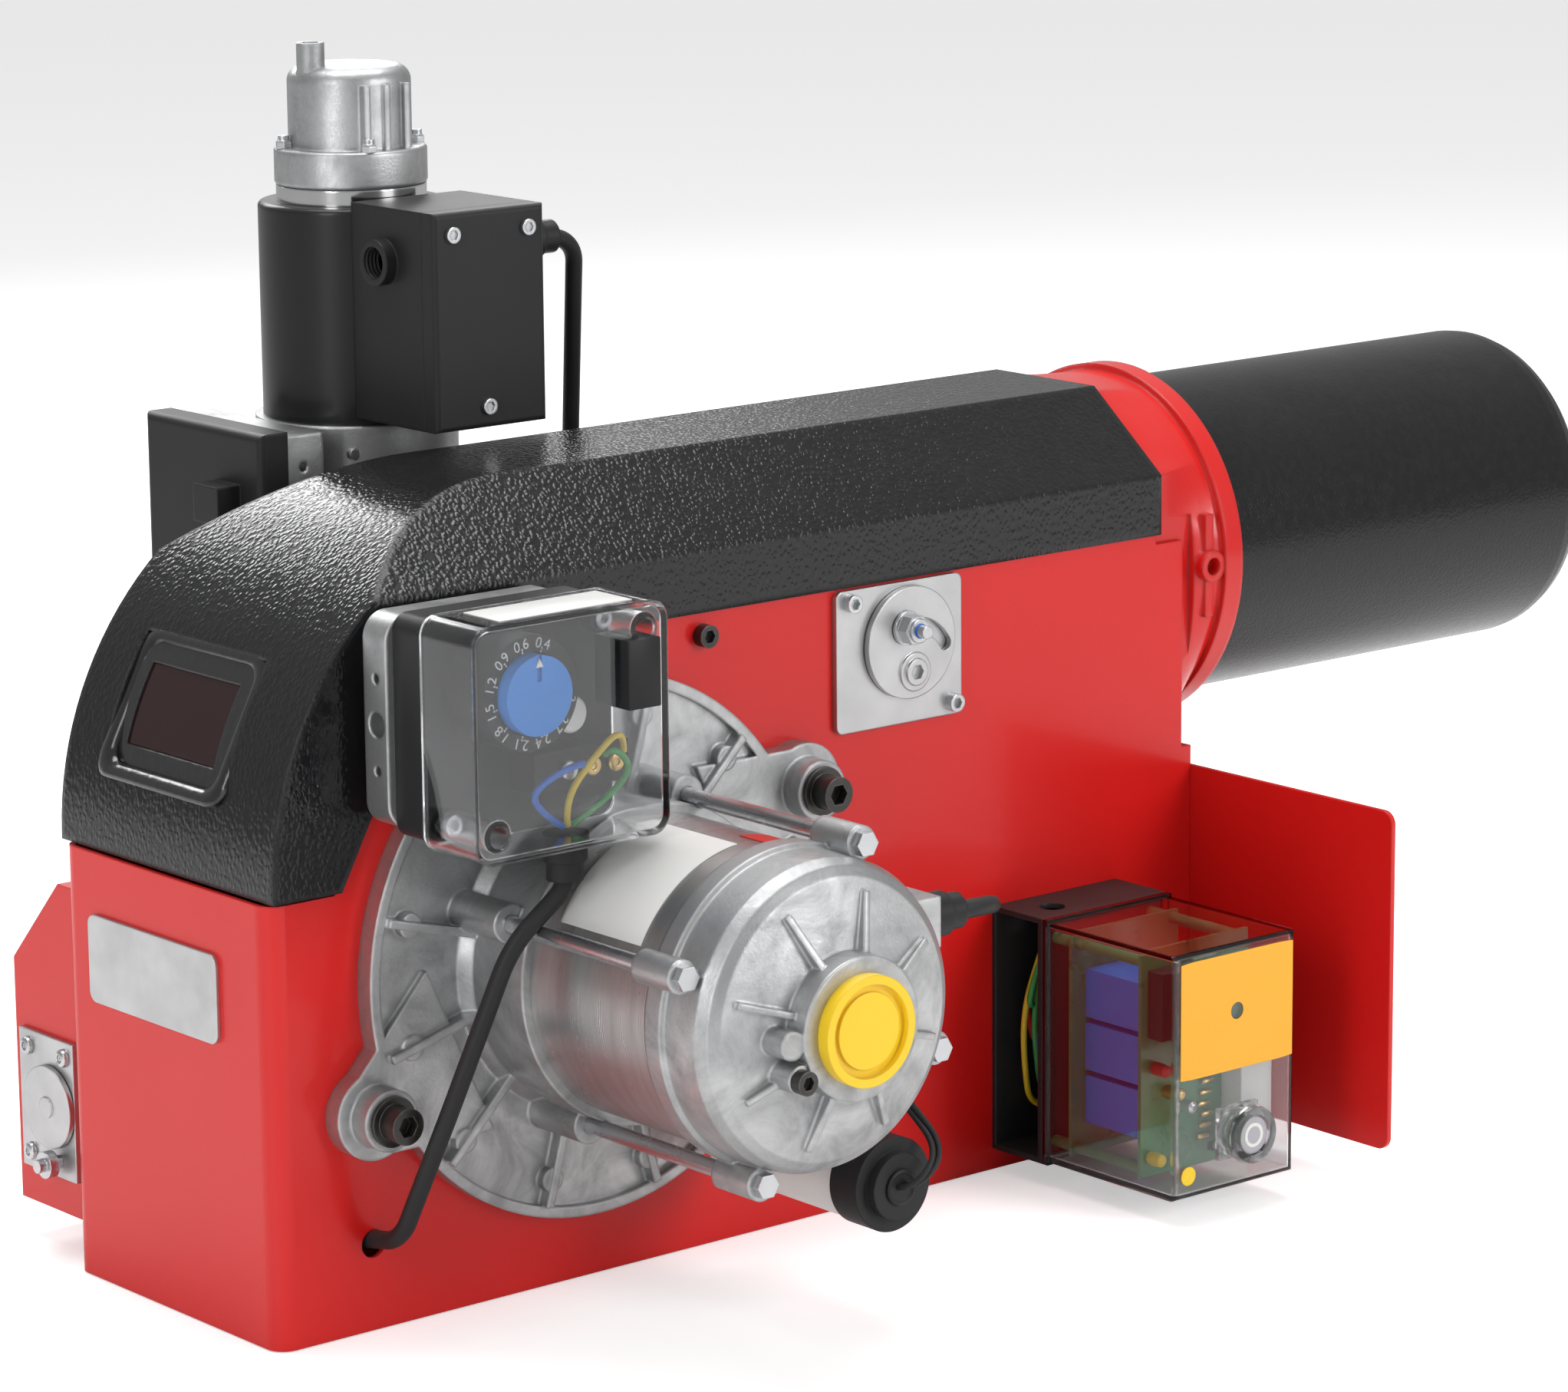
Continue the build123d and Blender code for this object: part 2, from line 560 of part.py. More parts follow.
def hub_plug():
    """Plastic plug that closes the hub bore."""
    plug = rod_y(PLUG_R, HUB_Y, PLUG_Y, MOT_X, MOT_Z)
    plug -= rod_y(PLUG_R - 3.2, PLUG_Y + 2.4, PLUG_Y - 1, MOT_X, MOT_Z)
    plug += rod_y(PLUG_R - 6, PLUG_Y + 3, PLUG_Y + 1.2, MOT_X, MOT_Z)
    plug += rod_y(HUB_BORE_R - 0.1, HUB_Y + 6, HUB_Y - 1, MOT_X, MOT_Z)
    return plug


def bearings():
    """Two ball bearing rings that carry the shaft."""
    made = []
    for y0, y1, radius in ((MOT_PAD_Y, MOT_PAD_Y - 5.9, BEARING_R), (-188.0, -196.0, BEARING_R - 4)):
        ring = rod_y(radius, y0, y1, MOT_X, MOT_Z) - rod_y(SHAFT_R + SHAFT_FIT, y0 + 1, y1 - 1, MOT_X, MOT_Z)
        made.append(ring)
    return Compound(children=made)


def rotor_shaft():
    """Shaft with the rotor core."""
    shaft = rod_y(SHAFT_R, FAN_Y0 + 24, -194.0, MOT_X, MOT_Z)
    shaft += rod_y(35.0, CONE_Y - 3, STATOR_Y + 3, MOT_X, MOT_Z)
    return shaft


def fan_wheel():
    """Radial fan wheel with many curved vanes between two rings."""
    disc = rod_y(FAN_R, FAN_Y0, FAN_Y0 + 2, MOT_X, MOT_Z)
    ring = rod_y(FAN_R, FAN_Y1 - 2, FAN_Y1, MOT_X, MOT_Z) - rod_y(FAN_R - 14, FAN_Y1 - 5, FAN_Y1 + 3, MOT_X, MOT_Z)
    wheel = disc + ring + rod_y(FAN_HUB_R, FAN_Y0, FAN_Y0 + 24, MOT_X, MOT_Z)
    inner = FAN_R - 14
    outer = FAN_R - 0.5
    for k in range(FAN_VANES):
        turn = 360 / FAN_VANES * k
        points = []
        for radius, lag in ((inner, 0), (inner + 5, 2.5), (inner + 9, 6), (outer, 12)):
            points.append(polar(radius, turn + lag, MOT_X, MOT_Z))
        for radius, lag in ((outer, 13.2), (inner + 9, 7.2), (inner + 5, 3.7), (inner, 1.2)):
            points.append(polar(radius, turn + lag, MOT_X, MOT_Z))
        face = make_face(Polyline(*points, close=True))
        wheel += Pos(0, FAN_Y1 - 1, 0) * extrude(Plane.XZ * face, FAN_Y1 - FAN_Y0 - 2)
    return wheel - rod_y(SHAFT_R, FAN_Y0 - 1, FAN_Y1 + 1, MOT_X, MOT_Z)


def capacitor_can():
    """Run capacitor below the motor."""
    return rod_y(CAP_R, CAP_Y0, CAP_Y1, CAP_X, CAP_Z)


def capacitor_boot():
    """Rubber boot over the capacitor terminals."""
    boot = rod_y(CAP_R + 1, CAP_Y1, BOOT_Y + 4, CAP_X, CAP_Z)
    return boot + rod_y(CAP_R - 4, BOOT_Y + 5, BOOT_Y, CAP_X, CAP_Z)


def capacitor_clip():
    """Strap that holds the capacitor on the motor flange."""
    ring = rod_y(CAP_R + 1.5, -100, -112, CAP_X, CAP_Z) - rod_y(CAP_R, -99, -113, CAP_X, CAP_Z)
    arm = block(CAP_X - 12, CAP_X + 2, MOT_PAD_Y - 4, -112, CAP_Z + CAP_R - 1, CAP_Z + CAP_R + 2)
    arm -= rod_y(CAP_R, -60, -120, CAP_X, CAP_Z)
    return ring + arm - motor_flange()


# ================================================================ head adjuster
def adjuster_plate():
    """Flat plate that carries the head adjuster disc."""
    y = -CASE_HALF
    plate = block(ADJ_X0, ADJ_X1, y - ADJ_T, y, ADJ_Z0, ADJ_Z1)
    plate = fillet(plate.edges().filter_by(Axis.Y), 3)
    plate -= rod_y(PIN_R + 0.06, y - 10, y + 1, ADJ_PIN_X, ADJ_PIN_Z)
    return plate


def adjuster_stud():
    """Fixed stud, washer and lock nut of the adjuster."""
    x, z = polar(ADJ_SLOT_RADIUS, ADJ_STUD_ANGLE, ADJ_PIN_X, ADJ_PIN_Z)
    top = -CASE_HALF - ADJ_T - ADJ_DISC_T - 0.8
    stud = rod_y(ADJ_STUD_R, -CASE_HALF - ADJ_T, top - 12, x, z)
    stud += rod_y(6.4, top, top - 1.4, x, z)
    stud += hex_y(10, top - 1.4, top - 6.5, x, z)
    stud += rod_y(4.4, top - 6.5, top - 8, x, z)
    return stud


def adjuster_disc():
    """Eccentric disc that turns on a socket pin, with a slot around the pin."""
    y0 = -CASE_HALF - ADJ_T - 0.4
    y1 = y0 - ADJ_DISC_T
    disc = rod_y(ADJ_DISC_R, y0, y1, ADJ_DISC_X, ADJ_DISC_Z)
    start, stop = ADJ_SLOT_END, ADJ_STUD_ANGLE + 1
    half = ADJ_STUD_R + 0.35
    inner = [polar(ADJ_SLOT_RADIUS - half, start + (stop - start) * k / 10, ADJ_PIN_X, ADJ_PIN_Z) for k in range(11)]
    outer = [polar(ADJ_SLOT_RADIUS + half, start + (stop - start) * k / 10, ADJ_PIN_X, ADJ_PIN_Z) for k in range(11)]
    band = make_face(Polyline(*(inner + outer[::-1]), close=True))
    disc -= Pos(0, y0 + 1, 0) * extrude(Plane.XZ * band, ADJ_DISC_T + 2)
    for angle in (start, stop):
        x, z = polar(ADJ_SLOT_RADIUS, angle, ADJ_PIN_X, ADJ_PIN_Z)
        disc -= rod_y(half, y0 + 1, y1 - 1, x, z)
    pin = rod_y(PIN_R, -CASE_HALF + 14, y1 - 2.0, ADJ_PIN_X, ADJ_PIN_Z)
    pin += rod_y(PIN_R + 2.2, y1 + 0.2, y1 - 0.9, ADJ_PIN_X, ADJ_PIN_Z)
    pin -= hex_y(5, y1 + 1.5, y1 - 3, ADJ_PIN_X, ADJ_PIN_Z)
    crank = block(ADJ_PIN_X - 4, ADJ_PIN_X + 4, -CASE_HALF + 10, -CASE_HALF + 14, ADJ_PIN_Z, ADJ_PIN_Z + 16)
    return disc + pin + crank


# ================================================================ control box
def control_base():
    """Terminal base of the burner control, open toward the rear."""
    x0, x1 = CTRL_X0, CTRL_X0 + CTRL_W
    z0, z1 = CTRL_Z0, CTRL_Z0 + CTRL_H
    base = block(x0, x1, CTRL_BASE_Y, -CASE_HALF, z0, z1)
    base -= block(x0 - 1, x1 - CTRL_T, CTRL_BASE_Y + 2.5, -CASE_HALF - 2, z0 + CTRL_T, z1 - CTRL_T)
    base -= rod_z(ENTRY_R, z1 - 10, z1 + 5, x0 + 16, -80)
    return base


def control_cover():
    """Clear cover of the burner control."""
    x0, x1 = CTRL_X0, CTRL_X0 + CTRL_W
    z0, z1 = CTRL_Z0, CTRL_Z0 + CTRL_H
    outer = block(x0 + 1, x1 - 1, CTRL_FRONT_Y, CTRL_BASE_Y, z0 + 1, z1 - 1)
    outer = fillet([e for e in outer.edges() if e.center().Y < CTRL_FRONT_Y + 0.1], 2.5)
    inner = block(x0 + 1 + CTRL_T, x1 - 1 - CTRL_T, CTRL_FRONT_Y + CTRL_T, CTRL_BASE_Y + 1,
                  z0 + 1 + CTRL_T, z1 - 1 - CTRL_T)
    shell = outer - inner
    flange = block(x0, x1, CTRL_BASE_Y - 3, CTRL_BASE_Y, z0, z1) - inner
    shell += flange
    shell -= rod_y(RESET_R + 3.2, CTRL_FRONT_Y - 5, CTRL_FRONT_Y + 5, RESET_X, RESET_Z)
    return shell


def control_boards():
    """Two circuit boards on spacer posts inside the control."""
    x0, x1 = CTRL_X0 + 5, CTRL_X0 + CTRL_W - 5
    z0, z1 = CTRL_Z0 + 5, CTRL_Z0 + CTRL_H - 5
    rear = block(x0, x1, CTRL_BASE_Y - 12, CTRL_BASE_Y - 10.4, z0, z1)
    front = block(x0, x1, CTRL_BASE_Y - 49.6, CTRL_BASE_Y - 48, z0, z1)
    for x in (CTRL_X0 + 8, CTRL_X0 + CTRL_W - 8):
        for z in (CTRL_Z0 + 8, CTRL_Z0 + CTRL_H - 8):
            rear += rod_y(2.2, CTRL_BASE_Y, CTRL_BASE_Y - 10.4, x, z)
            front += rod_y(2.2, CTRL_BASE_Y - 12, CTRL_BASE_Y - 48, x, z)
    return Compound(children=[rear, front])


def relays():
    """Three stacked relays between the boards."""
    made = []
    for k in range(3):
        z0 = CTRL_Z0 + 17 + 20.5 * k
        made.append(block(CTRL_X0 + 12, CTRL_X0 + 40, CTRL_BASE_Y - 47, CTRL_BASE_Y - 12, z0, z0 + 18.5))
    return Compound(children=made)


def reset_sleeve():
    """Guide ring of the reset button."""
    sleeve = rod_y(RESET_R + 3.1, CTRL_FRONT_Y + 8, CTRL_FRONT_Y - 2.0, RESET_X, RESET_Z)
    sleeve -= rod_y(RESET_R + 0.08, CTRL_FRONT_Y + 9, CTRL_FRONT_Y - 3, RESET_X, RESET_Z)
    holder = block(RESET_X - 10, RESET_X + 10, CTRL_FRONT_Y + 8, CTRL_FRONT_Y + 10, RESET_Z - 10, RESET_Z + 10)
    holder -= rod_y(RESET_R - 2.5, CTRL_FRONT_Y + 7, CTRL_FRONT_Y + 11, RESET_X, RESET_Z)
    stay = block(RESET_X - 3, RESET_X + 3, CTRL_FRONT_Y + 10, CTRL_BASE_Y - 49.6, RESET_Z - 10, RESET_Z - 7)
    return sleeve + holder + stay


def reset_button():
    """Round reset push button."""
    button = rod_y(RESET_R, CTRL_FRONT_Y + 3.6, CTRL_FRONT_Y - 1.0, RESET_X, RESET_Z)
    return fillet(button.edges().sort_by(Axis.Y)[0], 0.8)


# ================================================================ air pressure switch
def switch_base():
    """Cast base of the air pressure switch with its ports."""
    base = block(SW_BASE_X0, SW_X1 - 4, SW_Y1, SW_Y0, SW_BASE_Z0, SW_BASE_Z1)
    base = fillet(base.edges().filter_by(Axis.Y), 9)
    base += rod_y(8, -COVER_HALF, SW_Y0 - 1, SW_NIPPLE_X, SW_NIPPLE_Z)
    base -= rod_x(4.5, SW_BASE_X0 - 1, SW_BASE_X0 + 9, -80, 219)
    for z in (203, 235):
        base -= rod_x(1.8, SW_BASE_X0 - 1, SW_BASE_X0 + 9, -80, z)
    return base


def switch_body():
    """Black middle part of the pressure switch."""
    body = block(SW_X0 + 2, SW_X1 - 2, SW_Y2, SW_Y1, SW_Z0 + 2, SW_Z1 - 2)
    body = fillet(body.edges().filter_by(Axis.Y), 6)
    body += block(SW_X0 + 36, SW_X1 - 6, SW_Y2 - 14, SW_Y2, SW_Z0 + 17, SW_Z0 + 31)
    return body


def switch_cover():
    """Clear cover of the pressure switch with two screw wells."""
    outer = block(SW_X0, SW_X1, SW_Y3, SW_Y2, SW_Z0, SW_Z1)
    outer = fillet(outer.edges().filter_by(Axis.Y), 7)
    inner = block(SW_X0 + 2, SW_X1 - 2, SW_Y3 + 2, SW_Y2 + 1, SW_Z0 + 2, SW_Z1 - 2)
    inner = fillet(inner.edges().filter_by(Axis.Y), 5)
    shell = outer - inner
    for x, z in switch_wells():
        shell += rod_y(5.5, SW_Y3, SW_Y2, x, z)
        shell -= rod_y(4.0, SW_Y3 - 1, SW_Y2 - 4, x, z)
    return shell


def switch_wells():
    """Centres of the two screw wells."""
    return [(SW_X1 - 9.5, SW_Z1 - 9.5), (SW_X0 + 9.5, SW_Z0 + 9.5)]


def switch_scale():
    """Fixed scale ring below the dial."""
    ring = rod_y(DIAL_R, SW_Y2, SW_Y3 + 12, DIAL_X, DIAL_Z)
    ring -= rod_y(KNOB_R + 0.5, SW_Y3 + 16, SW_Y3 + 10, DIAL_X, DIAL_Z)
    return ring - rod_y(DIAL_AXLE_R + DIAL_FIT, SW_Y2 + 1, SW_Y3 + 10, DIAL_X, DIAL_Z)


def switch_dial():
    """Setting knob that turns in the scale ring."""
    knob = rod_y(KNOB_R, SW_Y3 + 15.5, SW_Y3 + 7, DIAL_X, DIAL_Z)
    knob += rod_y(DIAL_AXLE_R, SW_Y2 - 0.5, SW_Y3 + 15, DIAL_X, DIAL_Z)
    return knob - block(DIAL_X - 1, DIAL_X + 1, SW_Y3 + 5, SW_Y3 + 8, DIAL_Z + 5, DIAL_Z + KNOB_R + 1)


def switch_lead():
    """Black lead from the pressure switch into the casing."""
    points = [(88, -115, SW_Z0 - 4.5), (88, -115, 160.5), (66, -113, 143), (47, -102, 86), (HOLE_X, -80, 36),
              (HOLE_X, -55, HOLE_Z)]
    return tube_along(points, [10.0, 35.0, 80.0, 16.0], LEAD_R)


# ================================================================ gas valve
def valve_body():
    """Cast body of the gas valve with its inlet, outlet and collar."""
    x0, x1 = VALVE_X - BODY_HALF_X, VALVE_X + BODY_HALF_X
    y0, y1 = VALVE_Y - BODY_HALF_Y, VALVE_Y + BODY_HALF_Y
    body = block(x0, x1, y0, y1, BODY_Z0, 252)
    body = fillet(body.edges().filter_by(Axis.Z), 12)
    body += rod_z(34, 250, COLLAR_Z0 + 1, VALVE_X, VALVE_Y)
    collar = rod_z(COLLAR_R, COLLAR_Z0 + 1, COIL_Z0 - 1, VALVE_X, VALVE_Y)
    collar = fillet(collar.edges().sort_by(Axis.Z)[0], 3)
    collar -= rod_z(12, COLLAR_Z0 - 5, COIL_Z0 + 5, VALVE_X, VALVE_Y)
    collar -= block(VALVE_X - 90, 300, 0, COVER_HALF + 0.5, 200, COVER_TOP + 1)
    body += collar
    body += rod_y(24, y1 - 1, y1 + 12, VALVE_X, PIPE_Z)
    body -= rod_y(GAS_INLET_R, y1 - 8, y1 + 20, VALVE_X, PIPE_Z)
    body += rod_x(PIPE_R + 5, x1 - 1, x1 + 10, VALVE_Y, PIPE_Z)
    body -= rod_x(PIPE_R, x1 - 3, x1 + 20, VALVE_Y, PIPE_Z)
    body -= rod_z(9.08, 240, COLLAR_Z0 + 10, VALVE_X, VALVE_Y)
    return body


def coil():
    """Round solenoid coil."""
    body = rod_z(COIL_R, COIL_Z0 - 1, COIL_Z1, VALVE_X, VALVE_Y)
    body = fillet(body.edges().sort_by(Axis.Z)[-1], 2)
    body -= block(TERM_X0, TERM_X1, TERM_Y0, TERM_Y1, TERM_Z0, TERM_Z1 + 9)
    return body - rod_z(12, COIL_Z0 - 5, COIL_Z1 + 5, VALVE_X, VALVE_Y)


def armature_tube():
    """Steel tube in the coil that guides the plunger."""
    tube = rod_z(12, COLLAR_Z0 + 1, COIL_Z1, VALVE_X, VALVE_Y)
    tube += rod_z(RING_R, COIL_Z1, CAP_FLANGE_Z0, VALVE_X, VALVE_Y)
    return tube - rod_z(9.08, COLLAR_Z0, COIL_Z1 - 6, VALVE_X, VALVE_Y)


def plunger():
    """Sprung plunger of the gas valve."""
    bar = rod_z(9.0, 262, 340, VALVE_X, VALVE_Y)
    return bar - rod_z(5.0, 315, 341, VALVE_X, VALVE_Y)


def valve_cap():
    """Regulator cap with flange ring, dome, ribs and a hose stub."""
    cap = rod_z(RING_R + 0.5, CAP_FLANGE_Z0, CAP_FLANGE_Z1, VALVE_X, VALVE_Y)
    cap = fillet(cap.edges().filter_by(GeomType.CIRCLE), 1.5)
    dome = rod_z(DOME_R, CAP_FLANGE_Z1 - 2, DOME_Z, VALVE_X, VALVE_Y)
    dome = fillet(dome.edges().sort_by(Axis.Z)[-1], 6)
    cap += dome
    for x in (-9, 0, 9):
        cap += block(VALVE_X + x - 1.2, VALVE_X + x + 1.2, VALVE_Y - DOME_R - 1.5, VALVE_Y, CAP_FLANGE_Z1 - 1, DOME_Z - 6)
    cap += rod_z(STUB_R, DOME_Z - 12, STUB_Z, STUB_X, VALVE_Y)
    return cap - rod_z(STUB_R - 2, DOME_Z, STUB_Z + 1, STUB_X, VALVE_Y)


def terminal_box():
    """Terminal box of the coil with a cable entry."""
    box = block(TERM_X0, TERM_X1, TERM_Y0 + 8, TERM_Y1, TERM_Z0, TERM_Z1)
    box -= block(TERM_X0 + 2.5, TERM_X1 - 2.5, TERM_Y0 + 7, VALVE_Y - COIL_R - 3, TERM_Z0 + 2.5, TERM_Z1 - 2.5)
    box += rod_x(8.5, TERM_X0 - 5, TERM_X0 + 1, ENTRY_Y, ENTRY_Z)
    box -= rod_x(6.0, TERM_X0 - 6, TERM_X0 + 4, ENTRY_Y, ENTRY_Z)
    box -= rod_x(5.0, TERM_X1 - 3, TERM_X1 + 2, VGLAND_Y, VGLAND_Z)
    return box


def terminal_lid():
    """Screwed lid of the terminal box."""
    lid = block(TERM_X0, TERM_X1, TERM_Y0, TERM_Y0 + 8, TERM_Z0, TERM_Z1)
    return fillet([e for e in lid.edges() if e.center().Y < TERM_Y0 + 0.1], 2)


def lid_screws():
    """Three screws of the terminal lid."""
    points = [(TERM_X0 + 8, TERM_Z1 - 8), (TERM_X1 - 8, TERM_Z1 - 8), ((TERM_X0 + TERM_X1) / 2 - 2, TERM_Z0 + 8)]
    return Compound(children=[cap_screw(x, z, TERM_Y0, 3.0, 1.6) for x, z in points])


def valve_lead():
    """Lead of the coil, down into the far side of the casing."""
    points = [(TERM_X1 + 4.5, VGLAND_Y, VGLAND_Z), (TERM_X1 + 26, VGLAND_Y, VGLAND_Z - 1), (VALVE_LEAD_X - 2, 76, 272),
              (VALVE_LEAD_X, 78, 183), (VALVE_LEAD_X, 52, 181)]
    return tube_along(points, [14.0, 60.0, 12.0], LEAD_R)


def gas_pipe():
    """Gas pipe along the far side with a flanged elbow into the casing."""
    x1 = VALVE_X + BODY_HALF_X
    pipe = rod_x(PIPE_R, x1 - 3, PIPE_X1 - 2, VALVE_Y, PIPE_Z)
    pipe += rod_y(PIPE_R, CASE_HALF + 1, VALVE_Y, PIPE_X1 - 2, PIPE_Z)
    pipe += Pos(PIPE_X1 - 2, VALVE_Y, PIPE_Z) * Sphere(PIPE_R)
    pipe += block(PIPE_X1 - 24, PIPE_X1 + 20, CASE_HALF, CASE_HALF + 8, PIPE_Z - 22, PIPE_Z + 20)
    pipe -= rod_x(PIPE_R - 3, x1 - 4, PIPE_X1 - 2, VALVE_Y, PIPE_Z)
    return pipe - rod_y(PIPE_R - 3, CASE_HALF - 1, VALVE_Y, PIPE_X1 - 2, PIPE_Z)


def gas_switch_base():
    """Cast base of the gas pressure switch at the rear of the valve."""
    x1 = VALVE_X - BODY_HALF_X
    base = block(x1 - 20, x1, VALVE_Y - 30, VALVE_Y + 30, 222, 244)
    base += block(x1 - 20, x1 - 3, VALVE_Y - 36, VALVE_Y + 36, 224, 290)
    for z in (252, 278):
        base -= rod_y(1.8, VALVE_Y - 40, VALVE_Y - 30, x1 - 12, z)
    return base - rod_y(5, VALVE_Y - 40, VALVE_Y - 28, x1 - 12, 265)


def gas_switch_cover():
    """Black cover and knob of the gas pressure switch."""
    x1 = VALVE_X - BODY_HALF_X - 20
    cover = block(x1 - 12, x1, VALVE_Y - 38, VALVE_Y + 38, 222, 292)
    cover = fillet([e for e in cover.edges() if e.center().X < x1 - 11.9], 3)
    return cover + block(x1 - 22, x1 - 12, VALVE_Y - 24, VALVE_Y - 8, 258, 272)


def test_plug():
    """Plug of the gas test point."""
    x = VALVE_X - BODY_HALF_X + 14
    plug = hex_y(20, VALVE_Y - BODY_HALF_Y - 4, VALVE_Y - BODY_HALF_Y, x, 240)
    return plug + rod_y(8, VALVE_Y - BODY_HALF_Y - 8, VALVE_Y - BODY_HALF_Y - 3, x, 240)


# ================================================================ air inlet
def inlet_box():
    """Air inlet box on the far side, open at the bottom."""
    def outline(inset):
        return Polyline(
            (CASE_HALF + 0.0, INLET_Z0 + inset), (INLET_Y1 - inset, INLET_Z0 + inset),
            (INLET_Y1 - inset, INLET_CUT_Z - inset * 0.4), (INLET_CUT_Y - inset * 0.4, INLET_Z1 - inset),
            (CASE_HALF, INLET_Z1 - inset), close=True,
        )

    outer = Pos(INLET_X0, 0, 0) * extrude(Plane.YZ * make_face(outline(0)), INLET_X1 - INLET_X0)
    inner = Pos(INLET_X0 + 2, 0, 0) * extrude(Plane.YZ * make_face(outline(2)), INLET_X1 - INLET_X0 - 4)
    box = outer - inner
    box -= block(INLET_X0 + 14, INLET_X1 - 14, CASE_HALF + 8, INLET_Y1 - 8, 0, INLET_Z0 + 4)
    for x in (INLET_X0 - 5, INLET_X1 - 5):
        box -= rod_x(DAMPER_R + DAMPER_FIT, x, x + 10, DAMPER_Y, DAMPER_Z)
    return box


def damper_plate():
    """Plate on the rear of the inlet box that carries the damper disc."""
    plate = block(INLET_X0 - 2, INLET_X0, CASE_HALF + 9, INLET_Y1 - 5, DAMPER_Z - 26, DAMPER_Z + 26)
    return plate - rod_x(DAMPER_R + DAMPER_FIT, INLET_X0 - 6, INLET_X0 + 4, DAMPER_Y, DAMPER_Z)


def damper_stud():
    """Lock nut and stud of the damper."""
    y, z = DAMPER_Y - 4, DAMPER_Z - 20
    stud = rod_x(2.5, INLET_X0 - 12, INLET_X0 - 2, y, z)
    return stud + rod_x(5, INLET_X0 - 9, INLET_X0 - 5.2, y, z)


def air_damper():
    """Damper flap with its shaft and a slotted setting disc."""
    shaft = rod_x(DAMPER_R, INLET_X0 - 5, INLET_X1 + 4, DAMPER_Y, DAMPER_Z)
    disc = rod_x(15.5, INLET_X0 - 4.4, INLET_X0 - 2.4, DAMPER_Y, DAMPER_Z)
    flap = block(INLET_X0 + 3, INLET_X1 - 3, DAMPER_Y - 21, DAMPER_Y + 21, DAMPER_Z - 0.8, DAMPER_Z + 0.8)
    return shaft + disc + flap


# ================================================================ shared fasteners and glands
def socket_screws():
    """Socket head screws of the side panel and of the hub clamp."""
    x, z = polar(HUB_R + 4.5, 207, MOT_X, MOT_Z)
    made = [cap_screw(190.3, SIDE_H - 8.5, -CASE_HALF, 4.2, 4.5), cap_screw(x, z, HUB_Y + 1, 4.2, 4.5)]
    return Compound(children=made)


def small_screws():
    """Small screws of the adjuster plate and of the pressure switch."""
    face = -CASE_HALF - ADJ_T
    spots = [(ADJ_X0 + 6.5, ADJ_Z1 - 4.6, face), (ADJ_X1 - 4.6, ADJ_Z0 + 4.6, face)]
    spots += [(x, z, SW_Y2 - 4) for x, z in switch_wells()]
    return Compound(children=[cap_screw(x, z, y, 3.4, 3.4) for x, z, y in spots])


def gland_shape(flange_r, nut_r, bore_r):
    """Cable gland along +Z with its collar at the origin."""
    gland = rod_z(flange_r, 0, 8, 0, 0) + rod_z(nut_r, 8, 15, 0, 0)
    gland += extrude(RegularPolygon(nut_r + 0.8, 6), 3.5)
    return gland - rod_z(bore_r + 0.6, 4, 16, 0, 0)


def cable_glands():
    """Cable glands of the motor, the pressure switch and the gas valve."""
    switch = Pos(88, -115, SW_Z0) * Rot(180, 0, 0) * gland_shape(8, 6.5, LEAD_R)
    valve = Pos(TERM_X1, VGLAND_Y, VGLAND_Z) * Rot(0, 90, 0) * gland_shape(7.5, 6.2, LEAD_R)
    motor = Pos(GLAND_X, GLAND_Y, GLAND_Z) * Rot(0, 90, 0) * gland_shape(8, 6.5, LEAD_R)
    return Compound(children=[switch, valve, motor])


def motor_lead():
    """Lead of the motor, looping back into the side panel."""
    points = [(GLAND_X + 4.5, GLAND_Y, GLAND_Z), (GLAND_X + 40, GLAND_Y, GLAND_Z - 1),
              (GLAND_X + 50, -122, 124), (GLAND_X + 50, -55, 122)]
    return tube_along(points, [22.0, 60.0], LEAD_R)


PARTS = [
    lower_casing, guard_plate, top_cover, window_frame, sight_pane, socket_screws, small_screws,
    front_neck, blast_tube, gas_elbow, head_spider, gas_lance, diffuser_disc, electrodes,
    motor_flange, lug_screws, stator, end_bell, tie_bolts, hub_plug, bearings, rotor_shaft,
    fan_wheel, cable_glands, motor_lead, capacitor_can, capacitor_boot, capacitor_clip,
    adjuster_plate, adjuster_stud, adjuster_disc,
    control_base, control_cover, control_boards, relays, reset_sleeve, reset_button,
    switch_base, switch_body, switch_cover, switch_scale, switch_dial, switch_lead,
    valve_body, coil, armature_tube, plunger, valve_cap, terminal_box, terminal_lid, lid_screws,
    valve_lead, gas_pipe, gas_switch_base, gas_switch_cover, test_plug,
    inlet_box, damper_plate, damper_stud, air_damper,
]


for maker in PARTS:
    export_step(Pos(-CASE_L / 2, 0, 0) * maker(), f"parts/{maker.__name__}.step")
    print("wrote", maker.__name__)
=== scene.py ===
"""Looks of the gas burner: finishes, small fittings, light and camera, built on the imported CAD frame."""
import logging
import math
from dataclasses import dataclass, field
from enum import Enum
from typing import Sequence

import bmesh
import bpy
from mathutils import Matrix, Vector

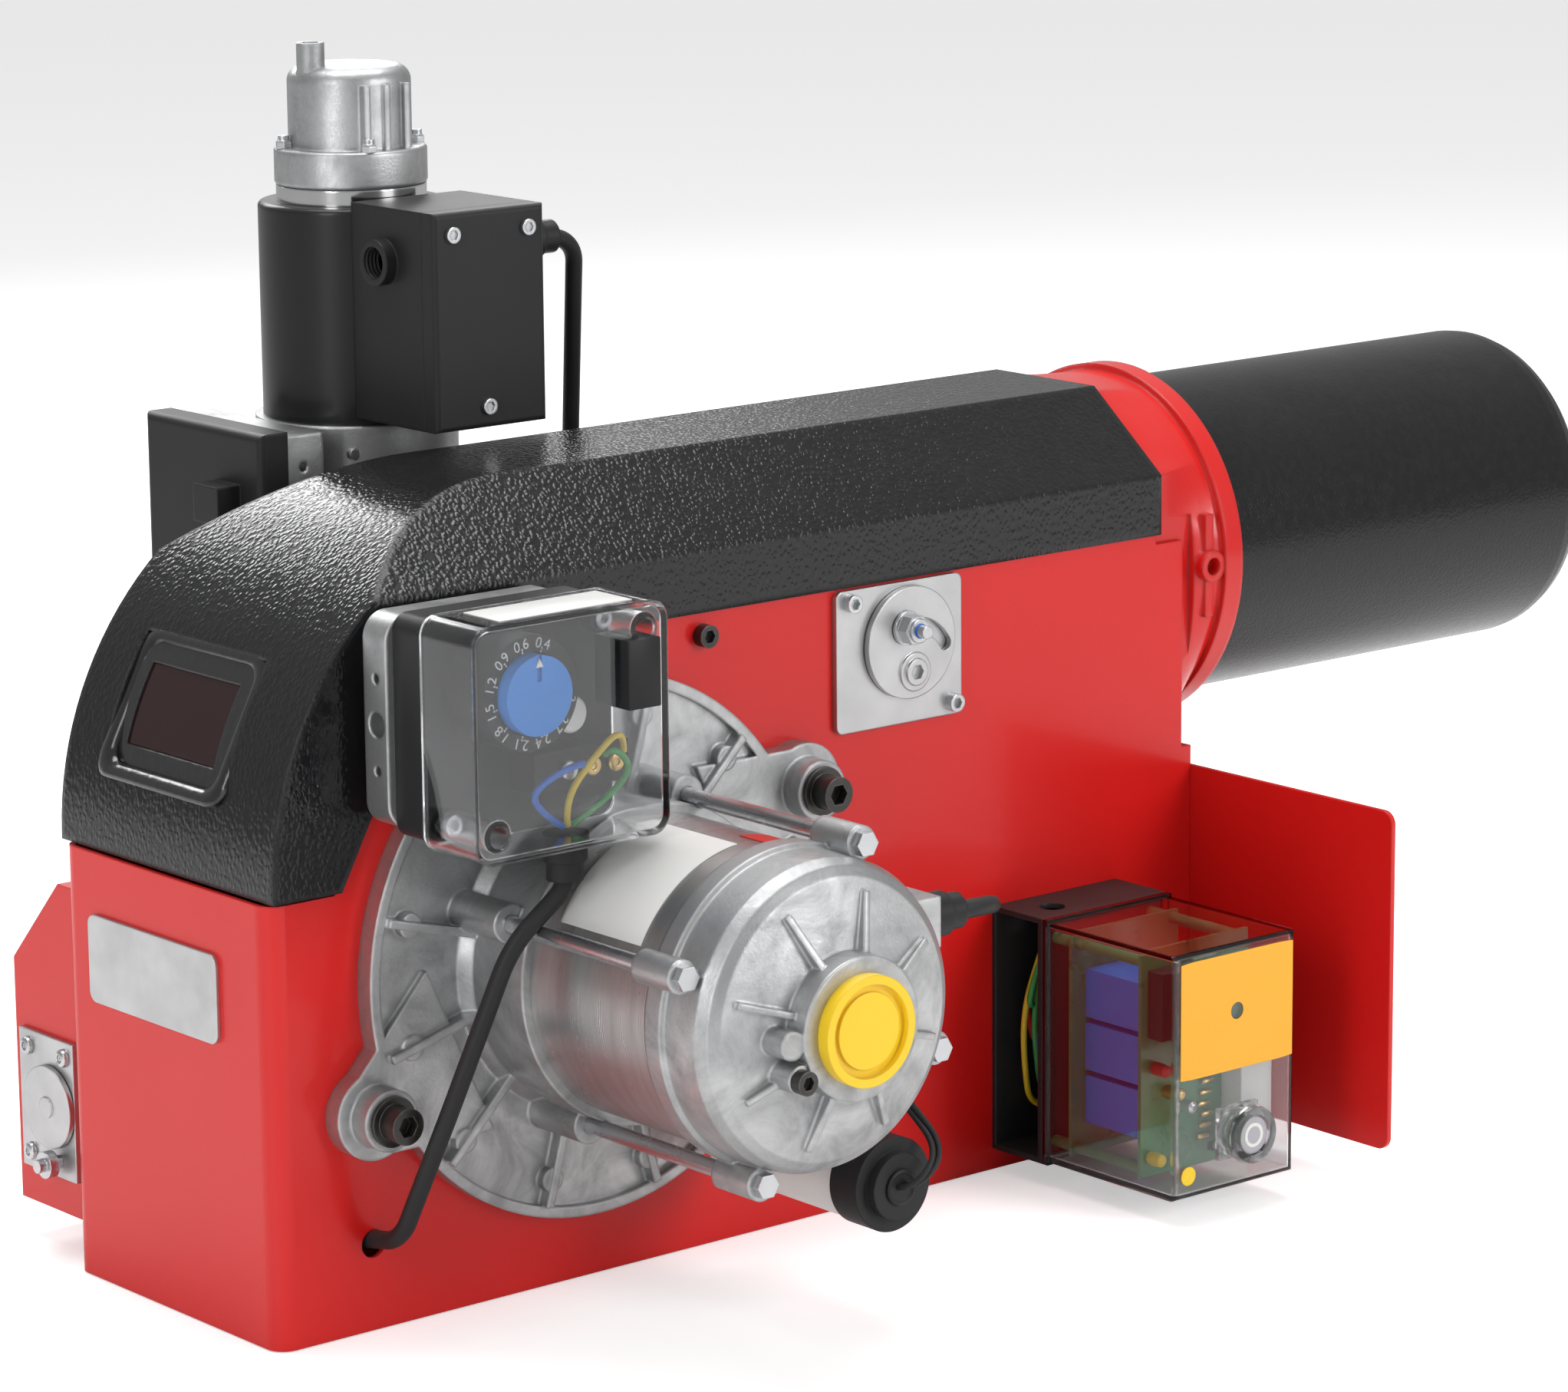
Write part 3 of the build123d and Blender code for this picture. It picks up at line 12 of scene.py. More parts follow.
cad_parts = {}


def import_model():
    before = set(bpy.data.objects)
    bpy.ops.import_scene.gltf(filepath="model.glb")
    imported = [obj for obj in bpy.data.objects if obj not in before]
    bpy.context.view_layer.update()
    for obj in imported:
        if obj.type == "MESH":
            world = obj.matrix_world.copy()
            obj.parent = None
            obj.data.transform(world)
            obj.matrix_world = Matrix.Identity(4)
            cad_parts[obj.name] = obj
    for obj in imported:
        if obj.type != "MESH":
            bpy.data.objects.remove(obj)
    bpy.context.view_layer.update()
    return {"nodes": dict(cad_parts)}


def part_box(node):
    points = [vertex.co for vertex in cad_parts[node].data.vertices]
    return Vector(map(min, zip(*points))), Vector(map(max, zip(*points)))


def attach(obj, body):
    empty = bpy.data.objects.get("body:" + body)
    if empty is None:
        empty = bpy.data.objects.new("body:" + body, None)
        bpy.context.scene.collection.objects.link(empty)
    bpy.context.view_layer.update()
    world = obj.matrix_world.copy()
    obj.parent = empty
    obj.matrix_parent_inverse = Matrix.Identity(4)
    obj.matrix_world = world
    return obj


LOG = logging.getLogger("burner")
REAR_X = -0.216
COAT_ROUGHNESS = 0.12
LEAST_ROUGHNESS = 0.03
LEAST_WEAR_RADIUS = 0.0008
DUST_COLOUR = (0.42, 0.4, 0.37)
MIX_A, MIX_B, MIX_RESULT = 6, 7, 2
SMOOTH_UNDER = math.radians(35)
Point = tuple[float, float, float]
Colour = tuple[float, float, float]


class Pattern(Enum):
    """Surface relief that a finish carries."""

    WRINKLE = "wrinkle"
    PEEL = "peel"
    CAST = "cast"
    BRUSHED = "brushed"
    LAMINATED = "laminated"
    MOULDED = "moulded"


class Axis(Enum):
    """Direction that a turned piece is spun about."""

    X = "X"
    Y = "Y"
    Z = "Z"


def mm(x: float, y: float, z: float) -> Vector:
    """Point in millimetres from the casing's rear face, as metres in the frame."""
    return Vector((x * 0.001 + REAR_X, y * 0.001, z * 0.001))


# ---------------------------------------------------------------- shader groups
class Graph:
    """Adds and links nodes in one node tree."""

    def __init__(self, tree: bpy.types.NodeTree) -> None:
        """Keep the tree."""
        self.tree = tree

    def add(self, kind: str, values: dict[str | int, object] | None = None, **settings: object) -> bpy.types.Node:
        """Add one node.

        Args:
            kind: node type without its ShaderNode prefix.
            values: default values of its inputs.
            settings: attributes of the node itself.

        Returns:
            The node.
        """
        node = self.tree.nodes.new(f"ShaderNode{kind}")
        for label, value in settings.items():
            setattr(node, label, value)
        for label, value in (values or {}).items():
            node.inputs[label].default_value = value
        return node

    def link(self, source: bpy.types.NodeSocket, *targets: bpy.types.NodeSocket) -> None:
        """Link one output to one or more inputs."""
        for target in targets:
            self.tree.links.new(source, target)

    def surface(self, stretch: Point = (1.0, 1.0, 1.0)) -> bpy.types.NodeSocket:
        """Object coordinates stretched per axis.

        Args:
            stretch: factor along each axis.

        Returns:
            The vector socket.
        """
        mapping = self.add("Mapping", {"Scale": stretch})
        self.link(self.add("TexCoord").outputs["Object"], mapping.inputs["Vector"])
        return mapping.outputs["Vector"]

    def scaled(self, first: bpy.types.NodeSocket, second: bpy.types.NodeSocket,
               clamp: bool = False) -> bpy.types.NodeSocket:
        """Product of two values.

        Args:
            first: one value.
            second: the other value.
            clamp: keep the product between 0 and 1.

        Returns:
            The product socket.
        """
        product = self.add("Math", operation="MULTIPLY", use_clamp=clamp)
        self.link(first, product.inputs[0])
        self.link(second, product.inputs[1])
        return product.outputs["Value"]

    def place(self, group: bpy.types.NodeTree, values: dict[str, float]) -> bpy.types.Node:
        """Place a node group, its tree first and then its own input values.

        Args:
            group: the shared group.
            values: default values of its inputs.

        Returns:
            The group node.
        """
        return self.add("Group", values, node_tree=group)


class EffectGroups:
    """Shader node groups shared by the finishes, each made once."""

    def __init__(self) -> None:
        """Build every group."""
        self.relief: dict[Pattern, bpy.types.NodeTree] = {
            Pattern.WRINKLE: self._wrinkle(),
            Pattern.PEEL: self._grain("orange_peel", {"Detail": 2.0, "Roughness": 0.45}),
            Pattern.CAST: self._cast(),
            Pattern.BRUSHED: self._grain("brushed_lines", {"Detail": 3.0}, (1.0, 1.0, 14.0),
                                         {"Scale": 60.0, "Detail": 5.0}),
            Pattern.LAMINATED: self._laminated(),
            Pattern.MOULDED: self._grain("moulded_grain", {"Detail": 3.0, "Roughness": 0.6}),
        }
        self.wear = self._edge_wear()
        self.dust = self._dust()

    def _start(self, name: str, inputs: dict[str, float], outputs: Sequence[str]) -> tuple:
        """Start a group with float inputs and float outputs.

        Args:
            name: name of the group.
            inputs: default value of each input.
            outputs: output names.

        Returns:
            The graph, its input sockets and its output sockets.
        """
        tree = bpy.data.node_groups.new(name, "ShaderNodeTree")
        for label, value in inputs.items():
            tree.interface.new_socket(label, in_out="INPUT", socket_type="NodeSocketFloat").default_value = value
        for label in outputs:
            tree.interface.new_socket(label, in_out="OUTPUT", socket_type="NodeSocketFloat")
        return Graph(tree), tree.nodes.new("NodeGroupInput").outputs, tree.nodes.new("NodeGroupOutput").inputs

    def _grain(self, name: str, fine_values: dict[str, float], stretch: Point = (1.0, 1.0, 1.0),
               broad_values: dict[str, float] | None = None) -> bpy.types.NodeTree:
        """Fine noise relief over a broad mottle.

        Args:
            name: name of the group.
            fine_values: inputs of the fine noise.
            stretch: stretch of the fine noise along each axis.
            broad_values: inputs of the broad noise.

        Returns:
            The node group.
        """
        graph, entry, leave = self._start(name, {"Scale": 400.0}, ["Height", "Mottle"])
        fine = graph.add("TexNoise", fine_values)
        broad = graph.add("TexNoise", broad_values or {"Scale": 14.0, "Detail": 4.0})
        graph.link(graph.surface(stretch), fine.inputs["Vector"])
        graph.link(graph.surface(), broad.inputs["Vector"])
        graph.link(entry["Scale"], fine.inputs["Scale"])
        graph.link(fine.outputs["Fac"], leave["Height"])
        graph.link(broad.outputs["Fac"], leave["Mottle"])
        return graph.tree

    def _wrinkle(self) -> bpy.types.NodeTree:
        """Leathery paint: rounded blobs pulled out of shape by noise.

        Returns:
            The node group.
        """
        graph, entry, leave = self._start("wrinkle_paint", {"Scale": 260.0}, ["Height", "Mottle"])
        surface = graph.surface((1.0, 1.0, 0.75))
        warp = graph.add("TexNoise", {"Scale": 300.0, "Detail": 2.0})
        push = graph.add("VectorMath", {1: (0.0022, 0.0022, 0.0022)}, operation="MULTIPLY_ADD")
        cells = graph.add("TexVoronoi", feature="SMOOTH_F1")
        cells.inputs["Smoothness"].default_value = 0.35
        bounds = {"From Min": 0.12, "From Max": 0.75, "To Min": 1.0, "To Max": 0.0}
        blobs = graph.add("MapRange", bounds, interpolation_type="SMOOTHSTEP")
        graph.link(surface, warp.inputs["Vector"], push.inputs[2])
        graph.link(warp.outputs["Color"], push.inputs[0])
        graph.link(push.outputs["Vector"], cells.inputs["Vector"])
        graph.link(entry["Scale"], cells.inputs["Scale"])
        graph.link(cells.outputs["Distance"], blobs.inputs["Value"])
        graph.link(blobs.outputs["Result"], leave["Height"])
        graph.link(warp.outputs["Fac"], leave["Mottle"])
        return graph.tree

    def _cast(self) -> bpy.types.NodeTree:
        """Sand cast skin: fine grit over cloudy stains.

        Returns:
            The node group.
        """
        graph, entry, leave = self._start("cast_skin", {"Scale": 700.0}, ["Height", "Mottle"])
        grit = graph.add("TexNoise", {"Detail": 6.0, "Roughness": 0.7})
        cloud = graph.add("TexNoise", {"Scale": 38.0, "Detail": 7.0, "Roughness": 0.66, "Distortion": 0.6})
        sharpen = graph.add("MapRange", {"From Min": 0.36, "From Max": 0.66})
        graph.link(graph.surface(), grit.inputs["Vector"], cloud.inputs["Vector"])
        graph.link(entry["Scale"], grit.inputs["Scale"])
        graph.link(cloud.outputs["Fac"], sharpen.inputs["Value"])
        graph.link(grit.outputs["Fac"], leave["Height"])
        graph.link(sharpen.outputs["Result"], leave["Mottle"])
        return graph.tree

    def _laminated(self) -> bpy.types.NodeTree:
        """Edges of stacked sheets, banded along Y.

        Returns:
            The node group.
        """
        graph, entry, leave = self._start("sheet_stack", {"Scale": 260.0}, ["Height", "Mottle"])
        bands = graph.add("TexWave", {"Distortion": 0.25}, bands_direction="Y")
        streaks = graph.add("TexNoise", {"Scale": 1.0, "Detail": 4.0})
        graph.link(graph.surface(), bands.inputs["Vector"])
        graph.link(graph.surface((30.0, 240.0, 30.0)), streaks.inputs["Vector"])
        graph.link(entry["Scale"], bands.inputs["Scale"])
        graph.link(bands.outputs["Fac"], leave["Height"])
        graph.link(streaks.outputs["Fac"], leave["Mottle"])
        return graph.tree

    def _edge_wear(self) -> bpy.types.NodeTree:
        """Mask of the edges, broken up by noise.

        Returns:
            The node group.
        """
        graph, entry, leave = self._start("edge_wear", {"Radius": 0.001, "Amount": 0.3}, ["Mask"])
        soft = graph.add("Bevel", samples=4)
        turn = graph.add("VectorMath", operation="DOT_PRODUCT")
        edge = graph.add("MapRange", {"From Min": 0.985, "From Max": 0.86})
        breakup = graph.add("TexNoise", {"Scale": 180.0, "Detail": 5.0})
        graph.link(entry["Radius"], soft.inputs["Radius"])
        graph.link(soft.outputs["Normal"], turn.inputs[0])
        graph.link(graph.add("NewGeometry").outputs["Normal"], turn.inputs[1])
        graph.link(turn.outputs["Value"], edge.inputs["Value"])
        graph.link(graph.add("TexCoord").outputs["Object"], breakup.inputs["Vector"])
        patchy = graph.scaled(edge.outputs["Result"], breakup.outputs["Fac"])
        graph.link(graph.scaled(patchy, entry["Amount"], clamp=True), leave["Mask"])
        return graph.tree

    def _dust(self) -> bpy.types.NodeTree:
        """Thin dust that settles on faces that look up.

        Returns:
            The node group.
        """
        graph, entry, leave = self._start("settled_dust", {"Amount": 0.1}, ["Mask"])
        split = graph.add("SeparateXYZ")
        upward = graph.add("MapRange", {"From Min": 0.3, "From Max": 1.0})
        cloud = graph.add("TexNoise", {"Scale": 55.0, "Detail": 8.0})
        graph.link(graph.add("NewGeometry").outputs["Normal"], split.inputs["Vector"])
        graph.link(split.outputs["Z"], upward.inputs["Value"])
        graph.link(graph.add("TexCoord").outputs["Object"], cloud.inputs["Vector"])
        patchy = graph.scaled(upward.outputs["Result"], cloud.outputs["Fac"])
        graph.link(graph.scaled(patchy, entry["Amount"]), leave["Mask"])
        return graph.tree


# ---------------------------------------------------------------- finishes
@dataclass(frozen=True)
class Finish:
    """One opaque finish with relief, mottle, worn edges and dust.

    Lengths are in metres; colour and shade are the two ends of the mottle.
    """

    name: str
    colour: Colour
    shade: Colour
    roughness: float = 0.4
    rough_spread: float = 0.12
    metallic: float = 0.0
    coat: float = 0.0
    pattern: Pattern = Pattern.MOULDED
    scale: float = 400.0
    depth: float = 0.00005
    strength: float = 0.4
    edge: float = 0.0008
    wear: float = 0.0
    wear_colour: Colour = (0.5, 0.5, 0.5)
    dust: float = 0.0
    specular: float = 0.5

    def build(self, groups: EffectGroups) -> bpy.types.Material:
        """Make the material.

        Args:
            groups: the shared effect groups.

        Returns:
            The material.
        """
        material, graph, shader = blank_material(self.name)
        shader["Metallic"].default_value = self.metallic
        shader["Coat Weight"].default_value = self.coat
        shader["Coat Roughness"].default_value = COAT_ROUGHNESS
        shader["Specular IOR Level"].default_value = self.specular
        relief = graph.place(groups.relief[self.pattern], {"Scale": self.scale}).outputs
        base = self._mix(graph, relief["Mottle"], self.colour, self.shade)
        if self.wear > 0:
            worn = graph.place(groups.wear, {"Radius": max(self.edge, LEAST_WEAR_RADIUS), "Amount": self.wear})
            base = self._mix(graph, worn.outputs["Mask"], base, self.wear_colour)
        if self.dust > 0:
            dusty = graph.place(groups.dust, {"Amount": self.dust})
            base = self._mix(graph, dusty.outputs["Mask"], base, DUST_COLOUR)
        graph.link(base, shader["Base Color"])
        low = max(LEAST_ROUGHNESS, self.roughness - self.rough_spread)
        add_gloss(graph, shader, relief["Mottle"], low, self.roughness + self.rough_spread)
        add_relief(graph, shader, relief["Height"], self.strength, self.depth, self.edge)
        return material

    def _mix(self, graph: Graph, mask: bpy.types.NodeSocket, first: object, second: Colour) -> bpy.types.NodeSocket:
        """Blend two colours by a mask.

        Args:
            graph: the material's graph.
            mask: mask socket.
            first: colour or socket where the mask is 0.
            second: colour where the mask is 1.

        Returns:
            The mixed colour socket.
        """
        mix = graph.add("Mix", data_type="RGBA")
        graph.link(mask, mix.inputs["Factor"])
        if isinstance(first, tuple):
            mix.inputs[MIX_A].default_value = (*first, 1.0)
        else:
            graph.link(first, mix.inputs[MIX_A])
        mix.inputs[MIX_B].default_value = (*second, 1.0)
        return mix.outputs[MIX_RESULT]


@dataclass(frozen=True)
class Clear:
    """See-through plastic or tinted pane."""

    name: str
    colour: Colour
    roughness: float
    alpha: float = 1.0
    transmission: float = 1.0
    ior: float = 1.49

    def build(self, groups: EffectGroups) -> bpy.types.Material:
        """Make the material.

        Args:
            groups: the shared effect groups.

        Returns:
            The material.
        """
        material, graph, shader = blank_material(self.name)
        shader["Base Color"].default_value = (*self.colour, 1.0)
        shader["IOR"].default_value = self.ior
        shader["Alpha"].default_value = self.alpha
        shader["Transmission Weight"].default_value = self.transmission
        relief = graph.place(groups.relief[Pattern.PEEL], {"Scale": 60.0}).outputs
        add_gloss(graph, shader, relief["Mottle"], self.roughness * 0.5, self.roughness * 1.6)
        add_relief(graph, shader, relief["Height"], strength=0.15, depth=0.0002, edge=0.0012, samples=4)
        return material


def blank_material(name: str) -> tuple:
    """New node material.

    Args:
        name: name of the material.

    Returns:
        The material, its graph and the inputs of its shader.
    """
    material = bpy.data.materials.new(name)
    material.use_nodes = True
    return material, Graph(material.node_tree), material.node_tree.nodes["Principled BSDF"].inputs


def add_gloss(graph: Graph, shader: object, mottle: bpy.types.NodeSocket, low: float, high: float) -> None:
    """Let the roughness vary with the mottle.

    Args:
        graph: the material's graph.
        shader: inputs of its shader.
        mottle: mottle socket.
        low: roughness where the mottle is 0.
        high: roughness where the mottle is 1.
    """
    spread = graph.add("MapRange", {"To Min": low, "To Max": high})
    graph.link(mottle, spread.inputs["Value"])
    graph.link(spread.outputs["Result"], shader["Roughness"])


def add_relief(graph: Graph, shader: object, height: bpy.types.NodeSocket, strength: float, depth: float, edge: float,
               samples: int = 6) -> None:
    """Bump the surface and round its edges.

    Args:
        graph: the material's graph.
        shader: inputs of its shader.
        height: height socket.
        strength: strength of the bump.
        depth: depth of the bump in metres.
        edge: radius of the rounded edges in metres.
        samples: samples of the edge rounding.
    """
    bump = graph.add("Bump", {"Strength": strength, "Distance": depth})
    graph.link(height, bump.inputs["Height"])
    if edge > 0:
        soft = graph.add("Bevel", {"Radius": edge}, samples=samples)
        graph.link(soft.outputs["Normal"], bump.inputs["Normal"])
    graph.link(bump.outputs["Normal"], shader["Normal"])


class Finishes:
    """All finishes of the burner, made once and looked up by name."""

    SPECS: tuple = (
        Finish("red_paint", (0.66, 0.010, 0.008), (0.58, 0.007, 0.006), roughness=0.34, rough_spread=0.05,
               coat=0.25, pattern=Pattern.PEEL, scale=420.0, depth=0.00006, strength=0.25, edge=0.0010,
               wear=0.12, wear_colour=(0.75, 0.10, 0.08), dust=0.05, specular=0.3),
        Finish("red_casting", (0.66, 0.010, 0.008), (0.54, 0.006, 0.005), roughness=0.3, rough_spread=0.06,
               coat=0.35, pattern=Pattern.PEEL, scale=300.0, depth=0.00012, strength=0.35, edge=0.0022,
               wear=0.18, wear_colour=(0.78, 0.12, 0.1), dust=0.08, specular=0.35),
        Finish("wrinkle_black", (0.006, 0.006, 0.007), (0.012, 0.012, 0.013), roughness=0.17, rough_spread=0.05,
               coat=0.12, pattern=Pattern.WRINKLE, scale=560.0, depth=0.00028, strength=0.42, edge=0.0035,
               dust=0.02, specular=0.35),
        Finish("tube_black", (0.007, 0.007, 0.008), (0.014, 0.014, 0.015), roughness=0.24, rough_spread=0.05,
               coat=0.08, pattern=Pattern.WRINKLE, scale=900.0, depth=0.00014, strength=0.38, edge=0.0020,
               dust=0.03, specular=0.3),
        Finish("gloss_black", (0.008, 0.008, 0.009), (0.015, 0.015, 0.016), roughness=0.18, rough_spread=0.05,
               coat=0.6, pattern=Pattern.WRINKLE, scale=330.0, depth=0.0003, strength=0.2, edge=0.0015, specular=0.4),
        Finish("cast_alu", (0.52, 0.525, 0.53), (0.30, 0.305, 0.31), roughness=0.42, metallic=0.88,
               pattern=Pattern.CAST, scale=900.0, depth=0.00022, strength=0.5, edge=0.0016, wear=0.5,
               wear_colour=(0.82, 0.82, 0.83), dust=0.08),
        Finish("lamination", (0.62, 0.61, 0.60), (0.36, 0.355, 0.35), roughness=0.3, rough_spread=0.1,
               metallic=0.95, pattern=Pattern.LAMINATED, scale=330.0, depth=0.00012, strength=0.5, edge=0.0006),
        Finish("plate_alu", (0.62, 0.62, 0.62), (0.42, 0.42, 0.43), roughness=0.36, metallic=0.9,
               pattern=Pattern.BRUSHED, scale=260.0, strength=0.35, wear=0.5, wear_colour=(0.85, 0.85, 0.85),
               dust=0.05),
        Finish("zinc", (0.66, 0.67, 0.68), (0.45, 0.46, 0.48), roughness=0.28, rough_spread=0.1, metallic=0.95,
               pattern=Pattern.BRUSHED, scale=500.0, depth=0.00003, strength=0.3, edge=0.0006, wear=0.4,
               wear_colour=(0.9, 0.9, 0.9)),
        Finish("galvanised", (0.6, 0.61, 0.63), (0.42, 0.43, 0.45), roughness=0.35, metallic=0.9,
               pattern=Pattern.CAST, scale=300.0, depth=0.00003, strength=0.3, wear=0.3,
               wear_colour=(0.85, 0.85, 0.85)),
        Finish("steel", (0.46, 0.46, 0.46), (0.28, 0.28, 0.29), roughness=0.35, metallic=0.95,
               pattern=Pattern.BRUSHED, scale=300.0, depth=0.00004, strength=0.3, edge=0.0006, wear=0.3,
               wear_colour=(0.7, 0.7, 0.7)),
        Finish("bright_steel", (0.78, 0.78, 0.79), (0.6, 0.6, 0.61), roughness=0.13, rough_spread=0.05,
               metallic=1.0, pattern=Pattern.BRUSHED, scale=500.0, depth=0.00002, strength=0.2),
        Finish("pipe_steel", (0.20, 0.20, 0.21), (0.13, 0.13, 0.14), roughness=0.45, rough_spread=0.1,
               metallic=0.3, coat=0.1, pattern=Pattern.PEEL, scale=300.0, depth=0.0001, strength=0.35,
               edge=0.0010, wear=0.3, wear_colour=(0.4, 0.4, 0.4), dust=0.2),
        Finish("black_steel", (0.035, 0.034, 0.033), (0.07, 0.066, 0.06), roughness=0.36, rough_spread=0.1,
               metallic=0.75, coat=0.1, pattern=Pattern.CAST, scale=600.0, depth=0.00004, strength=0.3,
               edge=0.0006, wear=0.5, wear_colour=(0.35, 0.34, 0.33), dust=0.05),
        Finish("black_plastic", (0.014, 0.014, 0.015), (0.024, 0.024, 0.025), roughness=0.42, rough_spread=0.08,
               scale=900.0, depth=0.00008, strength=0.35, edge=0.0012, wear=0.15,
               wear_colour=(0.12, 0.12, 0.12), dust=0.06, specular=0.22),
        Finish("coil_black", (0.011, 0.011, 0.012), (0.018, 0.018, 0.019), roughness=0.33, rough_spread=0.06,
               coat=0.15, pattern=Pattern.PEEL, scale=700.0, strength=0.25, edge=0.0012, wear=0.1,
               wear_colour=(0.1, 0.1, 0.1), dust=0.05, specular=0.24),
        Finish("black_rubber", (0.016, 0.016, 0.017), (0.03, 0.03, 0.031), roughness=0.48, rough_spread=0.1,
               scale=600.0, depth=0.00008, dust=0.1, specular=0.2),
        Finish("yellow_plastic", (0.88, 0.60, 0.008), (0.82, 0.53, 0.005), roughness=0.38, rough_spread=0.07,
               coat=0.1, scale=500.0, depth=0.00006, strength=0.3, wear=0.25, wear_colour=(0.98, 0.75, 0.2),
               dust=0.04),
        Finish("white_plastic", (0.80, 0.79, 0.77), (0.70, 0.69, 0.66), roughness=0.35, rough_spread=0.06,
               coat=0.2, depth=0.00004, strength=0.25, dust=0.05),
        Finish("white_ceramic", (0.85, 0.83, 0.78), (0.74, 0.72, 0.67), roughness=0.25, rough_spread=0.06,
               coat=0.4, pattern=Pattern.PEEL, depth=0.00003, strength=0.2, edge=0.0005),
        Finish("grey_plastic", (0.42, 0.42, 0.46), (0.34, 0.34, 0.38), roughness=0.22, rough_spread=0.05,
               coat=0.4, depth=0.00003, strength=0.2, edge=0.0010),
        Finish("board_green", (0.03, 0.16, 0.06), (0.05, 0.24, 0.09), roughness=0.32, rough_spread=0.08,
               coat=0.3, pattern=Pattern.CAST, scale=260.0, strength=0.3, edge=0.0003),
        Finish("relay_blue", (0.014, 0.22, 0.85), (0.012, 0.18, 0.72), roughness=0.28, rough_spread=0.05,
               coat=0.2, scale=500.0, depth=0.00004, strength=0.25, edge=0.0007, wear=0.2,
               wear_colour=(0.1, 0.3, 0.75)),
        Finish("dial_black", (0.012, 0.012, 0.013), (0.02, 0.02, 0.021), rough_spread=0.06, scale=800.0,
               depth=0.00004, strength=0.2, edge=0.0005, specular=0.2),
        Finish("dial_blue", (0.02, 0.26, 0.78), (0.018, 0.22, 0.70), rough_spread=0.05, coat=0.1, scale=700.0,
               depth=0.00003, strength=0.2, edge=0.0005),
        Finish("label_white", (0.82, 0.82, 0.80), (0.72, 0.72, 0.70), roughness=0.35, rough_spread=0.08,
               coat=0.15, scale=200.0, depth=0.00003, strength=0.3, edge=0.0004, wear=0.2,
               wear_colour=(0.6, 0.6, 0.58), dust=0.05),
        Finish("label_orange", (0.95, 0.42, 0.01), (0.90, 0.37, 0.008), rough_spread=0.08, coat=0.1,
               scale=200.0, depth=0.00003, strength=0.3, edge=0.0004, wear=0.2, wear_colour=(0.95, 0.6, 0.2)),
        Finish("ink_white", (0.85, 0.85, 0.85), (0.78, 0.78, 0.78), roughness=0.5, rough_spread=0.05),
        Finish("wire_yellow", (0.75, 0.55, 0.03), (0.65, 0.46, 0.02), rough_spread=0.06),
        Finish("wire_blue", (0.02, 0.15, 0.6), (0.015, 0.11, 0.5), rough_spread=0.06),
        Finish("wire_red", (0.55, 0.03, 0.02), (0.45, 0.02, 0.015), rough_spread=0.06),
        Finish("wire_green", (0.05, 0.35, 0.08), (0.04, 0.28, 0.06), rough_spread=0.06),
        Finish("brass", (0.72, 0.5, 0.18), (0.55, 0.37, 0.12), roughness=0.3, rough_spread=0.08, metallic=0.95),
        Clear("clear_plastic", (0.96, 0.97, 0.98), 0.03),
        Clear("clear_sleeve", (0.86, 0.88, 0.9), 0.08),
        Clear("smoked_glass", (0.022, 0.006, 0.006), 0.04, alpha=0.96, transmission=0.0),
    )

    def __init__(self, groups: EffectGroups) -> None:
        """Build all of them.

        Args:
            groups: the shared effect groups.
        """
        self._made = {spec.name: spec.build(groups) for spec in self.SPECS}

    def __getitem__(self, name: str) -> bpy.types.Material:
        """Look up the material of a finish."""
        return self._made[name]


